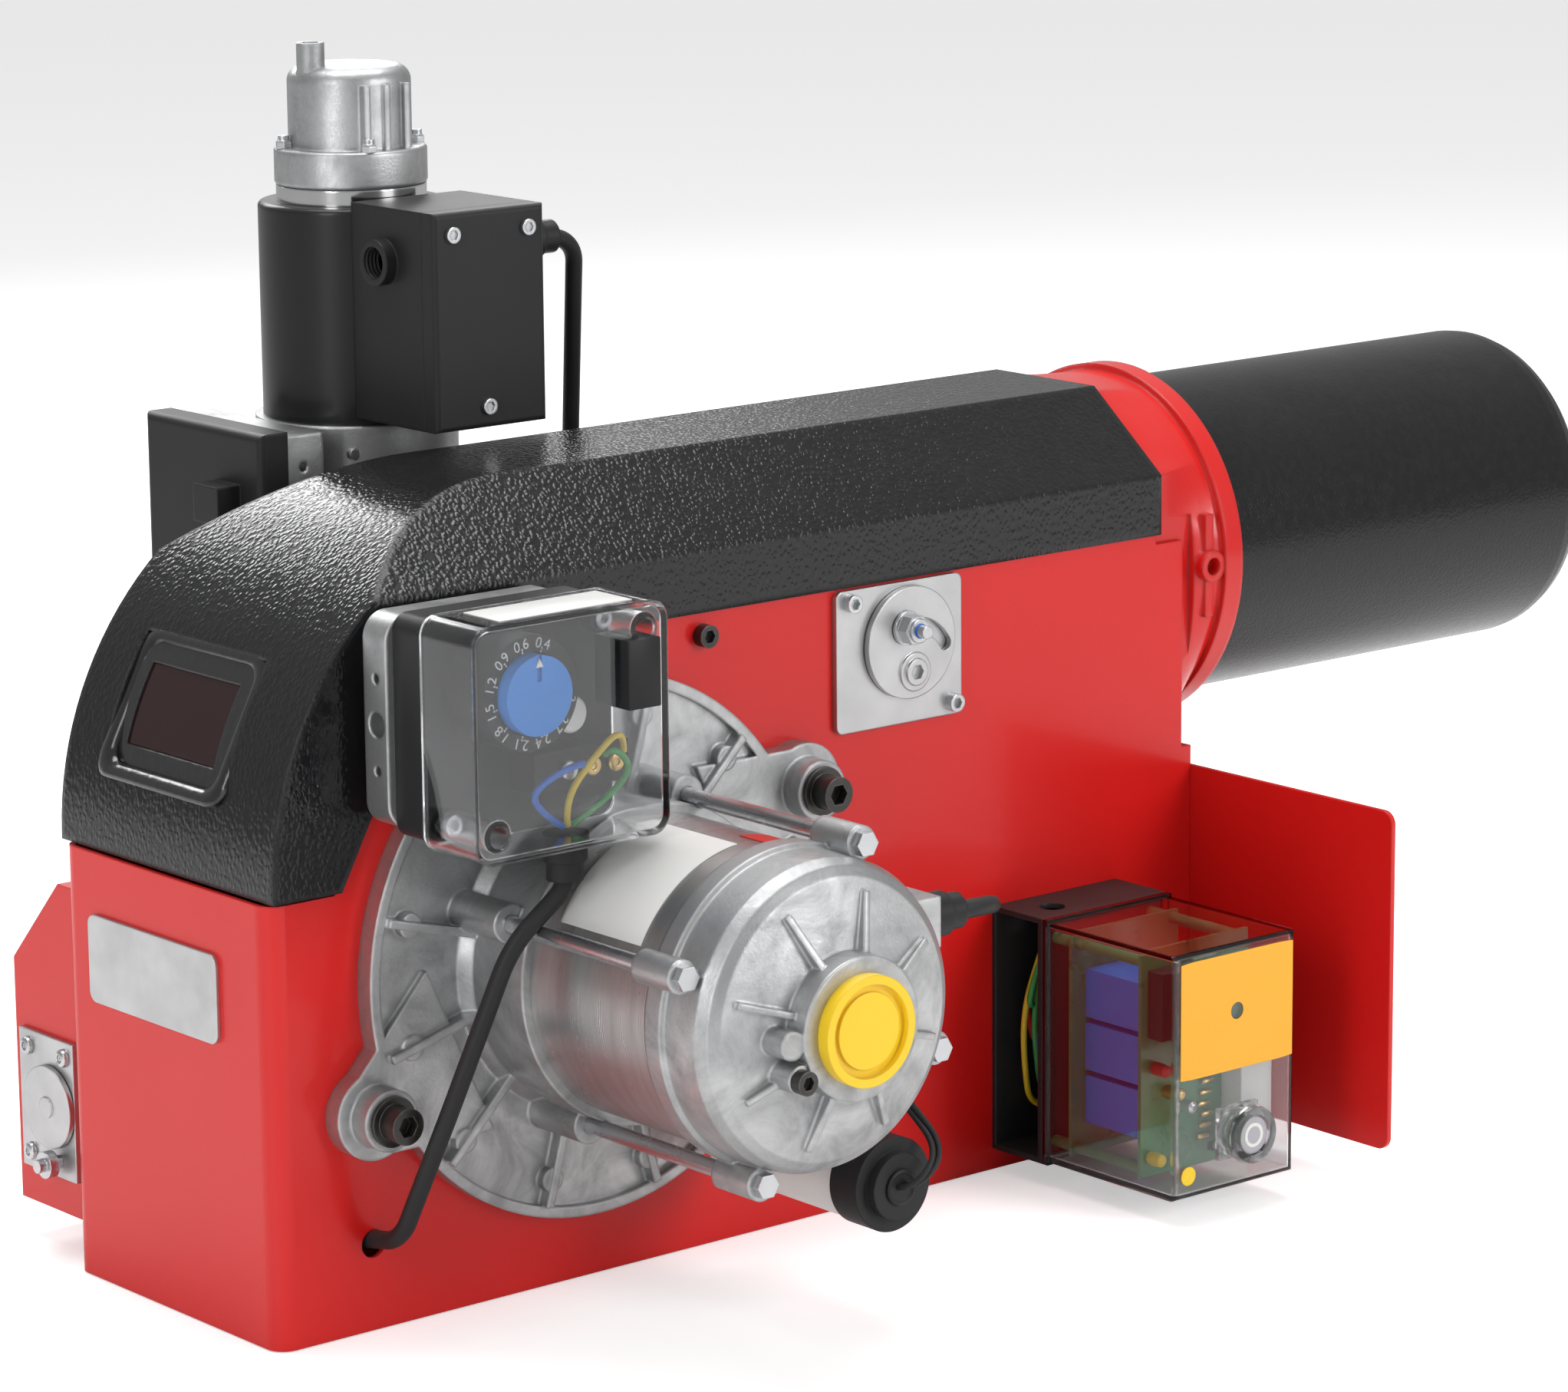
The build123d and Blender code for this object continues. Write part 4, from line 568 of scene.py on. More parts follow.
# ---------------------------------------------------------------- mesh helpers
class Maker:
    """Builds pieces, gives them a finish and hangs them on a body."""

    def __init__(self, finishes: Finishes) -> None:
        """Keep the finishes."""
        self.finishes = finishes

    def place(self, obj: bpy.types.Object, finish: str, body: str, slot: str) -> bpy.types.Object:
        """Link a piece, dress it and let it ride.

        Args:
            obj: the piece.
            finish: name of its finish.
            body: CAD body it rides on.
            slot: not used.

        Returns:
            The piece.
        """
        bpy.context.scene.collection.objects.link(obj)
        obj.data.materials.append(self.finishes[finish])
        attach(obj, body)
        return obj

    def mesh(self, name: str, work: bmesh.types.BMesh, finish: str, slot: str, body: str = "frame",
             smooth: bool = True) -> bpy.types.Object:
        """Turn a bmesh into a placed piece.

        Args:
            name: name of the piece.
            work: its mesh.
            finish: finish name.
            slot: record slot.
            body: body it rides on.
            smooth: smooth shading by angle.

        Returns:
            The piece.
        """
        data = bpy.data.meshes.new(name)
        work.normal_update()
        work.to_mesh(data)
        work.free()
        if smooth:
            data.polygons.foreach_set("use_smooth", [True] * len(data.polygons))
            data.set_sharp_from_angle(angle=SMOOTH_UNDER)
        return self.place(bpy.data.objects.new(name, data), finish, body, slot)

    def closed(self, name: str, work: bmesh.types.BMesh, finish: str, slot: str, body: str = "frame",
               smooth: bool = True) -> bpy.types.Object:
        """Turn every face of a closed mesh outwards and place it.

        Args:
            name: name of the piece.
            work: its mesh.
            finish: finish name.
            slot: record slot.
            body: body it rides on.
            smooth: smooth shading by angle.

        Returns:
            The piece.
        """
        bmesh.ops.recalc_face_normals(work, faces=work.faces)
        return self.mesh(name, work, finish, slot, body, smooth)

    def slab(self, name: str, low: Vector, high: Vector, finish: str, slot: str, body: str = "frame",
             bevel: float = 0.0006) -> bpy.types.Object:
        """Bevelled block between two corners.

        Args:
            name: name of the piece.
            low: lowest corner.
            high: highest corner.
            finish: finish name.
            slot: record slot.
            body: body it rides on.
            bevel: edge rounding.

        Returns:
            The piece.
        """
        work = bmesh.new()
        self.add_slab(work, low, high, bevel)
        return self.mesh(name, work, finish, slot, body)

    @staticmethod
    def add_slab(work: bmesh.types.BMesh, low: Vector, high: Vector, bevel: float) -> None:
        """Add one bevelled block to a mesh in progress.

        Args:
            work: mesh in progress.
            low: lowest corner.
            high: highest corner.
            bevel: edge rounding.
        """
        made = bmesh.ops.create_cube(work, size=1.0)
        size = high - low
        for vert in made["verts"]:
            vert.co = Vector((vert.co.x * size.x, vert.co.y * size.y, vert.co.z * size.z)) + (low + high) / 2
        if bevel > 0:
            edges = list({e for v in made["verts"] for e in v.link_edges})
            offset = min(bevel, min(size) * 0.4)
            bmesh.ops.bevel(work, geom=edges, offset=offset, segments=2, profile=0.5, affect="EDGES")

    @staticmethod
    def add_turned(work: bmesh.types.BMesh, outline: Sequence[tuple[float, float]], centre: Vector, axis: Axis,
                   steps: int = 40) -> None:
        """Add a turned form to a mesh in progress.

        Args:
            work: mesh in progress.
            outline: (radius, distance along the axis) pairs in metres.
            centre: point on the axis where the distance is 0.
            axis: axis of the form.
            steps: segments around.
        """
        frame = {
            Axis.X: (Vector((0, 1, 0)), Vector((0, 0, 1)), Vector((1, 0, 0))),
            Axis.Y: (Vector((0, 0, 1)), Vector((1, 0, 0)), Vector((0, 1, 0))),
            Axis.Z: (Vector((1, 0, 0)), Vector((0, 1, 0)), Vector((0, 0, 1))),
        }[axis]
        rings = []
        for radius, along in outline:
            ring = []
            for k in range(steps):
                angle = 2 * math.pi * k / steps
                offset = frame[0] * (radius * math.cos(angle)) + frame[1] * (radius * math.sin(angle))
                ring.append(work.verts.new(centre + offset + frame[2] * along))
            rings.append(ring)
        for first, second in zip(rings, rings[1:]):
            for k in range(steps):
                nxt = (k + 1) % steps
                work.faces.new((first[k], first[nxt], second[nxt], second[k]))
        for ring, flip in ((rings[0], True), (rings[-1], False)):
            work.faces.new(ring[::-1] if flip else ring)

    def turned(self, name: str, outline: Sequence[tuple[float, float]], centre: Vector, axis: Axis, finish: str,
               slot: str, body: str = "frame") -> bpy.types.Object:
        """Make one turned piece.

        Args:
            name: name of the piece.
            outline: (radius, distance along the axis) pairs in metres.
            centre: point on the axis where the distance is 0.
            axis: axis of the form.
            finish: finish name.
            slot: record slot.
            body: body it rides on.

        Returns:
            The piece.
        """
        work = bmesh.new()
        self.add_turned(work, outline, centre, axis)
        return self.closed(name, work, finish, slot, body)

    def wire(self, name: str, points: Sequence[Vector], radius: float, finish: str, slot: str,
             body: str = "frame") -> bpy.types.Object:
        """Thin wire along a smooth curve.

        Args:
            name: name of the piece.
            points: control points.
            radius: radius of the wire.
            finish: finish name.
            slot: record slot.
            body: body it rides on.

        Returns:
            The piece.
        """
        data = bpy.data.curves.new(name, "CURVE")
        data.dimensions = "3D"
        data.bevel_depth = radius
        data.bevel_resolution = 3
        data.resolution_u = 8
        spline = data.splines.new("NURBS")
        spline.points.add(len(points) - 1)
        for point, place in zip(spline.points, points):
            point.co = (*place, 1.0)
        spline.order_u = 3
        spline.use_endpoint_u = True
        return self.place(bpy.data.objects.new(name, data), finish, body, slot)

    def text(self, name: str, body_text: str, size: float, place: Matrix, finish: str, slot: str,
             body: str = "frame") -> bpy.types.Object:
        """Raised lettering of a plain number.

        Args:
            name: name of the piece.
            body_text: what it reads.
            size: letter height in metres.
            place: its matrix.
            finish: finish name.
            slot: record slot.
            body: body it rides on.

        Returns:
            The piece.
        """
        data = bpy.data.curves.new(name, "FONT")
        data.body = body_text
        data.size = size
        data.align_x = "CENTER"
        data.align_y = "CENTER"
        data.extrude = 0.00008
        obj = bpy.data.objects.new(name, data)
        obj.matrix_world = place
        return self.place(obj, finish, body, slot)


# ---------------------------------------------------------------- sub-assemblies
@dataclass
class Carcass:
    """Casing, cover, neck, tube and the blank badge plate."""

    make: Maker
    badge_low: tuple[float, float] = (-34.0, 104.0)
    badge_high: tuple[float, float] = (46.0, 136.0)
    badge_thick: float = 0.0016
    bezel_proud: float = 0.0010
    bezel_corner: float = 0.007
    bezel_wide: float = 0.0042
    bezel_deep: float = 0.0026
    finishes: dict[str, str] = field(default_factory=lambda: {
        "lower_casing": "red_paint", "guard_plate": "red_paint", "inlet_box": "red_paint",
        "front_neck": "red_casting", "top_cover": "wrinkle_black", "window_frame": "gloss_black",
        "sight_pane": "smoked_glass", "blast_tube": "tube_black", "socket_screws": "black_steel",
        "small_screws": "zinc", "adjuster_plate": "plate_alu", "adjuster_disc": "plate_alu",
        "adjuster_stud": "zinc", "damper_plate": "plate_alu", "damper_stud": "zinc", "air_damper": "plate_alu",
        "gas_elbow": "steel", "head_spider": "steel", "gas_lance": "steel", "diffuser_disc": "steel",
        "electrodes": "white_ceramic",
    })

    def build(self) -> None:
        """Make the badge plate, window rim, damper screws and nut insert."""
        self._badge()
        self._bezel()
        self._damper_screws()
        self._stud_insert()

    def _badge(self) -> None:
        """Blank plate on the rear face."""
        y0, z0 = self.badge_low
        y1, z1 = self.badge_high
        work = bmesh.new()
        steps = 10
        radius = 0.004
        low, high = mm(0, y0, z0), mm(0, y1, z1)
        outline = []
        corners = ((high.y - radius, high.z - radius, 0), (low.y + radius, high.z - radius, 90),
                   (low.y + radius, low.z + radius, 180), (high.y - radius, low.z + radius, 270))
        for y, z, start in corners:
            for k in range(steps + 1):
                angle = math.radians(start + 90 * k / steps)
                outline.append((y + radius * math.cos(angle), z + radius * math.sin(angle)))
        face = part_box("lower_casing")[0].x
        back = [work.verts.new((face, y, z)) for y, z in outline]
        front = [work.verts.new((face - self.badge_thick, y, z)) for y, z in outline]
        work.faces.new(back)
        work.faces.new(front[::-1])
        for k in range(len(outline)):
            nxt = (k + 1) % len(outline)
            work.faces.new((back[k], front[k], front[nxt], back[nxt]))
        self.make.closed("blank_badge", work, "plate_alu", "plate_alu")

    def _bezel(self) -> None:
        """Rounded raised rim that holds the sight pane."""
        frame_low, frame_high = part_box("window_frame")
        pane_low, pane_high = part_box("sight_pane")
        tilt = (pane_high.x - pane_low.x) / (pane_high.z - pane_low.z)
        middle = (pane_low + pane_high) / 2
        half_y, half_z = (frame_high.y - frame_low.y) / 2 - 0.005, (frame_high.z - frame_low.z) / 2 - 0.004
        corner = self.bezel_corner
        path = []
        for sy, sz, start in ((1, 1, 0), (-1, 1, 90), (-1, -1, 180), (1, -1, 270)):
            for k in range(7):
                angle = math.radians(start + 15 * k)
                path.append((sy * (half_y - corner) + corner * math.cos(angle),
                             sz * (half_z - corner) + corner * math.sin(angle)))
        work = bmesh.new()
        turns = [math.radians(30 * k) for k in range(12)]
        section = [(self.bezel_wide * math.cos(a), self.bezel_deep * math.sin(a)) for a in turns]
        rings = []
        centre_y = (frame_low.y + frame_high.y) / 2
        for y, z in path:
            reach = math.hypot(y, z)
            ring = []
            for across, out in section:
                grow = 1 + across / reach
                height = z * grow
                x = middle.x + tilt * height - self.bezel_proud - out
                ring.append(work.verts.new((x, centre_y + y * grow, middle.z + height)))
            rings.append(ring)
        for first, second in zip(rings, rings[1:] + rings[:1]):
            for k in range(len(section)):
                nxt = (k + 1) % len(section)
                work.faces.new((first[k], first[nxt], second[nxt], second[k]))
        self.make.closed("window_bezel", work, "gloss_black", "gloss_black")

    def _damper_screws(self) -> None:
        """Two pan head screws on the damper plate."""
        low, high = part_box("damper_plate")
        work = bmesh.new()
        inset = 0.006
        corners = ((low.y + inset, high.z - inset), (high.y - inset, high.z - inset), (high.y - inset, low.z + inset))
        for y, z in corners:
            centre = Vector((low.x, y, z))
            self.make.add_turned(work, [(0.0032, 0), (0.0034, -0.0006), (0.0030, -0.0016), (0.0016, -0.0021),
                                        (0.0015, -0.0012)], centre, Axis.X, 24)
        self.make.closed("damper_screws", work, "zinc", "zinc")

    def _stud_insert(self) -> None:
        """Blue locking insert of the adjuster nut."""
        low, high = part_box("adjuster_stud")
        centre = Vector(((low.x + high.x) / 2, low.y + 0.0040, (low.z + high.z) / 2))
        self.make.turned("nut_insert", [(0.0026, 0.0004), (0.0028, -0.0002), (0.0026, -0.0006), (0.0019, -0.0006),
                                        (0.0019, 0.0)], centre, Axis.Y, "wire_blue", "relay_blue")


@dataclass
class Motor:
    """Fan motor, its labels, capacitor and leads."""

    make: Maker
    label_from: float = 96.0
    label_to: float = 152.0
    label_near: float = -0.114
    label_far: float = -0.158
    finishes: dict[str, str] = field(default_factory=lambda: {
        "motor_flange": "cast_alu", "end_bell": "cast_alu", "stator": "lamination", "lug_screws": "black_steel",
        "tie_bolts": "zinc", "hub_plug": "yellow_plastic", "bearings": "steel", "rotor_shaft": "steel",
        "fan_wheel": "galvanised", "cable_glands": "black_plastic", "motor_lead": "black_rubber",
        "capacitor_can": "white_plastic", "capacitor_boot": "black_rubber", "capacitor_clip": "zinc",
    })

    def build(self) -> None:
        """Make the blank label, the dot sticker and the capacitor's wires."""
        self._label("rating_label", self.label_from, self.label_to, self.label_near, self.label_far,
                    "label_white", "white_plastic")
        self._label("test_dot", 74.0, 88.0, -0.150, -0.164, "wire_red", "red_paint")
        self._boot_wires()

    def _label(self, name: str, start: float, stop: float, near: float, far: float, finish: str, slot: str) -> None:
        """Thin label wrapped on the stator.

        Args:
            name: name of the piece.
            start: first angle in degrees.
            stop: last angle.
            near: Y of its edge at the casing.
            far: Y of its outer edge.
            finish: finish name.
            slot: record slot.
        """
        low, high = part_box("stator")
        axis_x, axis_z = (low.x + high.x) / 2, (low.z + high.z) / 2
        radius = (high.x - low.x) / 2
        work = bmesh.new()
        columns = 24
        grid = []
        for lift in (0.00005, 0.00035):
            rows = []
            for y in (near, far):
                row = []
                for k in range(columns + 1):
                    angle = math.radians(start + (stop - start) * k / columns)
                    row.append(work.verts.new((axis_x + (radius + lift) * math.cos(angle), y,
                                               axis_z + (radius + lift) * math.sin(angle))))
                rows.append(row)
            grid.append(rows)
        for k in range(columns):
            for rows in grid:
                work.faces.new((rows[0][k], rows[0][k + 1], rows[1][k + 1], rows[1][k]))
            for side in (0, 1):
                work.faces.new((grid[0][side][k], grid[0][side][k + 1], grid[1][side][k + 1], grid[1][side][k]))
        for k in (0, columns):
            work.faces.new((grid[0][0][k], grid[0][1][k], grid[1][1][k], grid[1][0][k]))
        self.make.closed(name, work, finish, slot)

    def _boot_wires(self) -> None:
        """Two thin wires from the capacitor boot back to the bell."""
        low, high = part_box("capacitor_boot")
        x, z = (low.x + high.x) / 2, (low.z + high.z) / 2
        self.make.turned("boot_hole", [(0.0060, 0.0002), (0.0066, -0.0008), (0.0056, -0.0014), (0.0046, -0.0006)],
                         Vector((x, low.y, z)), Axis.Y, "black_rubber", "black_rubber")
        for k, drop in enumerate((-0.0016, 0.0016)):
            points = [Vector((x + drop, low.y + 0.002, z)), Vector((x + drop, low.y - 0.008, z + 0.001)),
                      Vector((x + 0.014 + drop, low.y - 0.007, z + 0.012)),
                      Vector((x + 0.012, low.y + 0.010, z + 0.026 + drop)),
                      Vector((x + 0.004, low.y + 0.018, z + 0.040 + drop))]
            self.make.wire(f"capacitor_wire_{k}", points, 0.0011, "black_rubber", "black_rubber")


@dataclass
class PressureSwitch:
    """Air pressure switch: dial numbers, wires and terminals behind the clear cover."""

    make: Maker
    numbers: tuple[str, ...] = ("0,4", "0,6", "0,9", "1,2", "1,5", "1,8", "2,1", "2,4", "2,7", "3")
    first_angle: float = 72.0
    step_angle: float = 30.5
    number_size: float = 0.0052
    wire_radius: float = 0.0012
    finishes: dict[str, str] = field(default_factory=lambda: {
        "switch_base": "cast_alu", "switch_body": "black_plastic", "switch_cover": "clear_plastic",
        "switch_scale": "dial_black", "switch_dial": "dial_blue", "switch_lead": "black_rubber",
    })

    def build(self) -> None:
        """Make the scale, pointer, wires and terminals."""
        low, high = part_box("switch_scale")
        self.centre = Vector(((low.x + high.x) / 2, low.y, (low.z + high.z) / 2))
        self.radius = (high.x - low.x) / 2
        self._numbers()
        self._pointer()
        self._wiring()
        self._top_label()

    def _numbers(self) -> None:
        """Plain numbers and tick marks round the dial."""
        upright = Matrix.Rotation(math.radians(90), 4, "X")
        ticks = bmesh.new()
        for k, number in enumerate(self.numbers):
            angle = math.radians(self.first_angle + self.step_angle * k)
            spot = self.centre + Vector((math.cos(angle), 0, math.sin(angle))) * (self.radius * 0.86)
            spot.y -= 0.0001
            roll = Matrix.Rotation(angle - math.radians(90), 4, Vector((0, -1, 0)))
            place = Matrix.Translation(spot) @ roll @ upright
            self.make.text(f"scale_number_{k}", number, self.number_size, place, "ink_white", "white_plastic")
            inner = self.centre + Vector((math.cos(angle), 0, math.sin(angle))) * (self.radius * 0.735)
            self.make.add_turned(ticks, [(0.00035, -0.0001), (0.00035, 0.0002)], inner, Axis.Y, 12)
        self.make.closed("scale_ticks", ticks, "ink_white", "white_plastic")

    def _pointer(self) -> None:
        """White arrow on the turning dial."""
        low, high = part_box("switch_dial")
        x, z, y = (low.x + high.x) / 2, high.z, low.y
        work = bmesh.new()
        shape = ((x, z - 0.0008), (x - 0.0016, z - 0.0040), (x + 0.0016, z - 0.0040))
        back = [work.verts.new((px, y + 0.0002, pz)) for px, pz in shape]
        front = [work.verts.new((px, y - 0.00025, pz)) for px, pz in shape]
        work.faces.new(back)
        work.faces.new(front)
        for k in range(3):
            work.faces.new((back[k], back[(k + 1) % 3], front[(k + 1) % 3], front[k]))
        self.make.closed("dial_arrow", work, "ink_white", "dial_blue", "dial", smooth=False)

    def _wiring(self) -> None:
        """Terminals and three coloured wires."""
        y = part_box("switch_body")[0].y
        cover_low, cover_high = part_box("switch_cover")
        for k, x in enumerate((0.050, 0.060, 0.070)):
            spot = Vector((cover_low.x + x, y, cover_low.z + 0.024))
            outline = [(0.0034, 0.0002), (0.0034, -0.0014), (0.0029, -0.0020), (0.0012, -0.0020), (0.0011, -0.0012)]
            self.make.turned(f"switch_terminal_{k}", outline, spot, Axis.Y, "brass" if k else "zinc", "zinc")
        gland = Vector((mm(88, 0, 0).x, -0.116, cover_low.z + 0.004))
        routes = (
            ("wire_yellow", [(0.0, 0.0, 0.0), (-0.004, -0.004, 0.010), (0.004, -0.009, 0.024),
                             (0.018, -0.009, 0.034), (0.020, -0.006, 0.024)]),
            ("wire_blue", [(-0.002, 0.0, 0.0), (-0.012, -0.003, 0.006), (-0.022, -0.008, 0.016),
                           (-0.006, -0.011, 0.024), (0.004, -0.006, 0.022)]),
            ("wire_green", [(0.002, 0.0, 0.0), (0.012, -0.003, 0.006), (0.022, -0.009, 0.018),
                            (0.012, -0.011, 0.028), (0.012, -0.006, 0.024)]),
        )
        for finish, offsets in routes:
            points = [gland + Vector(offset) for offset in offsets]
            slot = "relay_blue" if finish == "wire_blue" else "yellow_plastic"
            self.make.wire(f"switch_{finish}", points, self.wire_radius, finish, slot)
        block_low = Vector((cover_low.x + 0.062, y - 0.020, cover_high.z - 0.036))
        block_high = block_low + Vector((0.014, 0.020, 0.024))
        self.make.slab("micro_switch", block_low, block_high, "dial_black", "dial_black")
        self.make.turned("range_cam", [(0.0062, 0.0002), (0.0064, -0.0008), (0.0056, -0.0016), (0.002, -0.0016)],
                         self.centre + Vector((0.021, 0.006, -0.011)), Axis.Y, "white_plastic", "white_plastic")

    def _top_label(self) -> None:
        """Blank strip on top of the switch."""
        low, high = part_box("switch_cover")
        work = bmesh.new()
        corner = Vector((high.x - 0.012, high.y - 0.006, high.z + 0.0004))
        self.make.add_slab(work, Vector((low.x + 0.014, low.y + 0.004, high.z)), corner, 0.0001)
        self.make.mesh("switch_strip", work, "label_white", "white_plastic")


@dataclass
class ControlBox:
    """Burner control: boards with parts, blank label, indicator and wiring."""

    make: Maker
    finishes: dict[str, str] = field(default_factory=lambda: {
        "control_base": "black_plastic", "control_cover": "clear_plastic", "control_boards": "board_green",
        "relays": "relay_blue", "reset_sleeve": "clear_sleeve", "reset_button": "grey_plastic",
    })

    def build(self) -> None:
        """Make everything seen through the clear cover."""
        self.low, self.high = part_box("control_cover")
        self._label()
        self._board_parts()
        self._base_wires()
        self._dots()

    def _label(self) -> None:
        """Blank orange label with a round hole."""
        low, high = self.low, self.high
        face = low.y
        x0, x1 = low.x + 0.0035, high.x - 0.003
        z0, z1 = high.z - 0.0485, high.z - 0.004
        centre = ((x0 + x1) / 2, (z0 + z1) / 2)
        work = bmesh.new()
        steps = 48
        outer, inner = [], []
        for k in range(steps):
            angle = 2 * math.pi * k / steps
            dx, dz = math.cos(angle), math.sin(angle)
            reach = min((x1 - x0) / 2 / max(abs(dx), 1e-6), (z1 - z0) / 2 / max(abs(dz), 1e-6))
            outer.append((centre[0] + dx * reach, centre[1] + dz * reach))
            inner.append((centre[0] + dx * 0.0032, centre[1] + dz * 0.0032))
        layers = []
        for y in (face, face - 0.00035):
            layers.append([[work.verts.new((x, y, z)) for x, z in line] for line in (outer, inner)])
        for k in range(steps):
            nxt = (k + 1) % steps
            for out, hole in layers:
                work.faces.new((out[k], out[nxt], hole[nxt], hole[k]))
            for part in (0, 1):
                near, far = layers[0][part], layers[1][part]
                work.faces.new((near[k], near[nxt], far[nxt], far[k]))
        self.make.closed("control_label", work, "label_orange", "yellow_plastic", smooth=False)

    def _board_parts(self) -> None:
        """Resistors, capacitors, blocks and an indicator on the boards."""
        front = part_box("control_boards")[0].y
        low = self.low
        parts = (
            ("board_block", (0.044, 0.060), (0.012, 0.056), 0.011, "white_plastic"),
            ("board_socket", (0.008, 0.024), (0.058, 0.084), 0.008, "dial_black"),
            ("board_fuse", (0.028, 0.040), (0.056, 0.080), 0.006, "white_ceramic"),
        )
        for name, (x0, x1), (z0, z1), tall, finish in parts:
            corner = Vector((low.x + x1, front, low.z + z1))
            self.make.slab(name, Vector((low.x + x0, front - tall, low.z + z0)), corner, finish, "white_plastic")
        spots = ((0.010, 0.012, "wire_yellow"), (0.018, 0.036, "brass"), (0.012, 0.046, "wire_red"),
                 (0.030, 0.050, "dial_black"), (0.024, 0.030, "zinc"))
        for k, (x, z, finish) in enumerate(spots):
            centre = Vector((low.x + x, front, low.z + z))
            outline = [(0.0024, 0.0), (0.0026, -0.0030), (0.0023, -0.0062), (0.0012, -0.0070)]
            self.make.turned(f"board_part_{k}", outline, centre, Axis.Y, finish, "board_green")
        work = bmesh.new()
        for k in range(7):
            z = low.z + 0.016 + 0.0042 * k
            centre = Vector((low.x + 0.034 + 0.001 * (k % 3), front - 0.0011, z))
            outline = [(0.0006, -0.003), (0.0011, -0.0022), (0.0011, 0.0022), (0.0006, 0.003)]
            self.make.add_turned(work, outline, centre, Axis.X, 14)
        self.make.closed("resistors", work, "brass", "board_green")

    def _base_wires(self) -> None:
        """Coloured wires inside the open base."""
        low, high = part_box("control_base")
        x = low.x + 0.010
        y = (low.y + high.y) / 2
        routes = (
            ("wire_yellow", 0.000, 0.006), ("wire_green", 0.003, 0.003), ("wire_red", 0.007, -0.001),
            ("wire_blue", 0.000, -0.004), ("wire_red", 0.004, 0.008), ("wire_yellow", -0.003, -0.007),
            ("wire_blue", 0.006, 0.005), ("wire_green", -0.002, 0.000),
        )
        for k, (finish, dx, dy) in enumerate(routes):
            bow = 0.0025 * math.sin(1.7 * k + 0.6)
            points = [Vector((x + 0.018, high.y - 0.004, low.z + 0.012 + 0.007 * k)),
                      Vector((x + 0.006 + dx, y + dy + 0.004, low.z + 0.014 + 0.006 * k)),
                      Vector((x - 0.002 + dx + bow, y + dy, low.z + 0.030 + 0.004 * k)),
                      Vector((x - 0.002 + dx - bow, y + dy - 0.002, low.z + 0.052 + 0.002 * k)),
                      Vector((x + 0.002 + dx, y + dy * 0.6, low.z + 0.070)),
                      Vector((x + 0.010 + dx * 0.4, y + dy * 0.3, high.z - 0.006))]
            self.make.wire(f"base_wire_{k}", points, 0.0012, finish, "yellow_plastic")
        work = bmesh.new()
        for k in range(6):
            z = low.z + 0.014 + 0.0115 * k
            corner = Vector((x + 0.034, high.y - 0.0022, z + 0.009))
            self.make.add_slab(work, Vector((x + 0.018, high.y - 0.012, z)), corner, 0.0006)
        self.make.mesh("terminal_row", work, "black_plastic", "black_plastic")

    def _dots(self) -> None:
        """Yellow sight dot and the ring around the reset button."""
        low = self.low
        self.make.turned("sight_dot", [(0.0036, 0.0001), (0.0036, -0.0003), (0.0028, -0.0004)],
                         Vector((low.x + 0.0078, low.y, low.z + 0.0100)), Axis.Y, "yellow_plastic", "yellow_plastic")
        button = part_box("reset_button")
        centre = (button[0] + button[1]) / 2
        self.make.turned("button_ring", [(0.0030, 0.0002), (0.0034, -0.0003), (0.0046, -0.0003), (0.0050, 0.0002)],
                         Vector((centre.x, button[0].y, centre.z)), Axis.Y, "white_plastic", "grey_plastic", "reset")


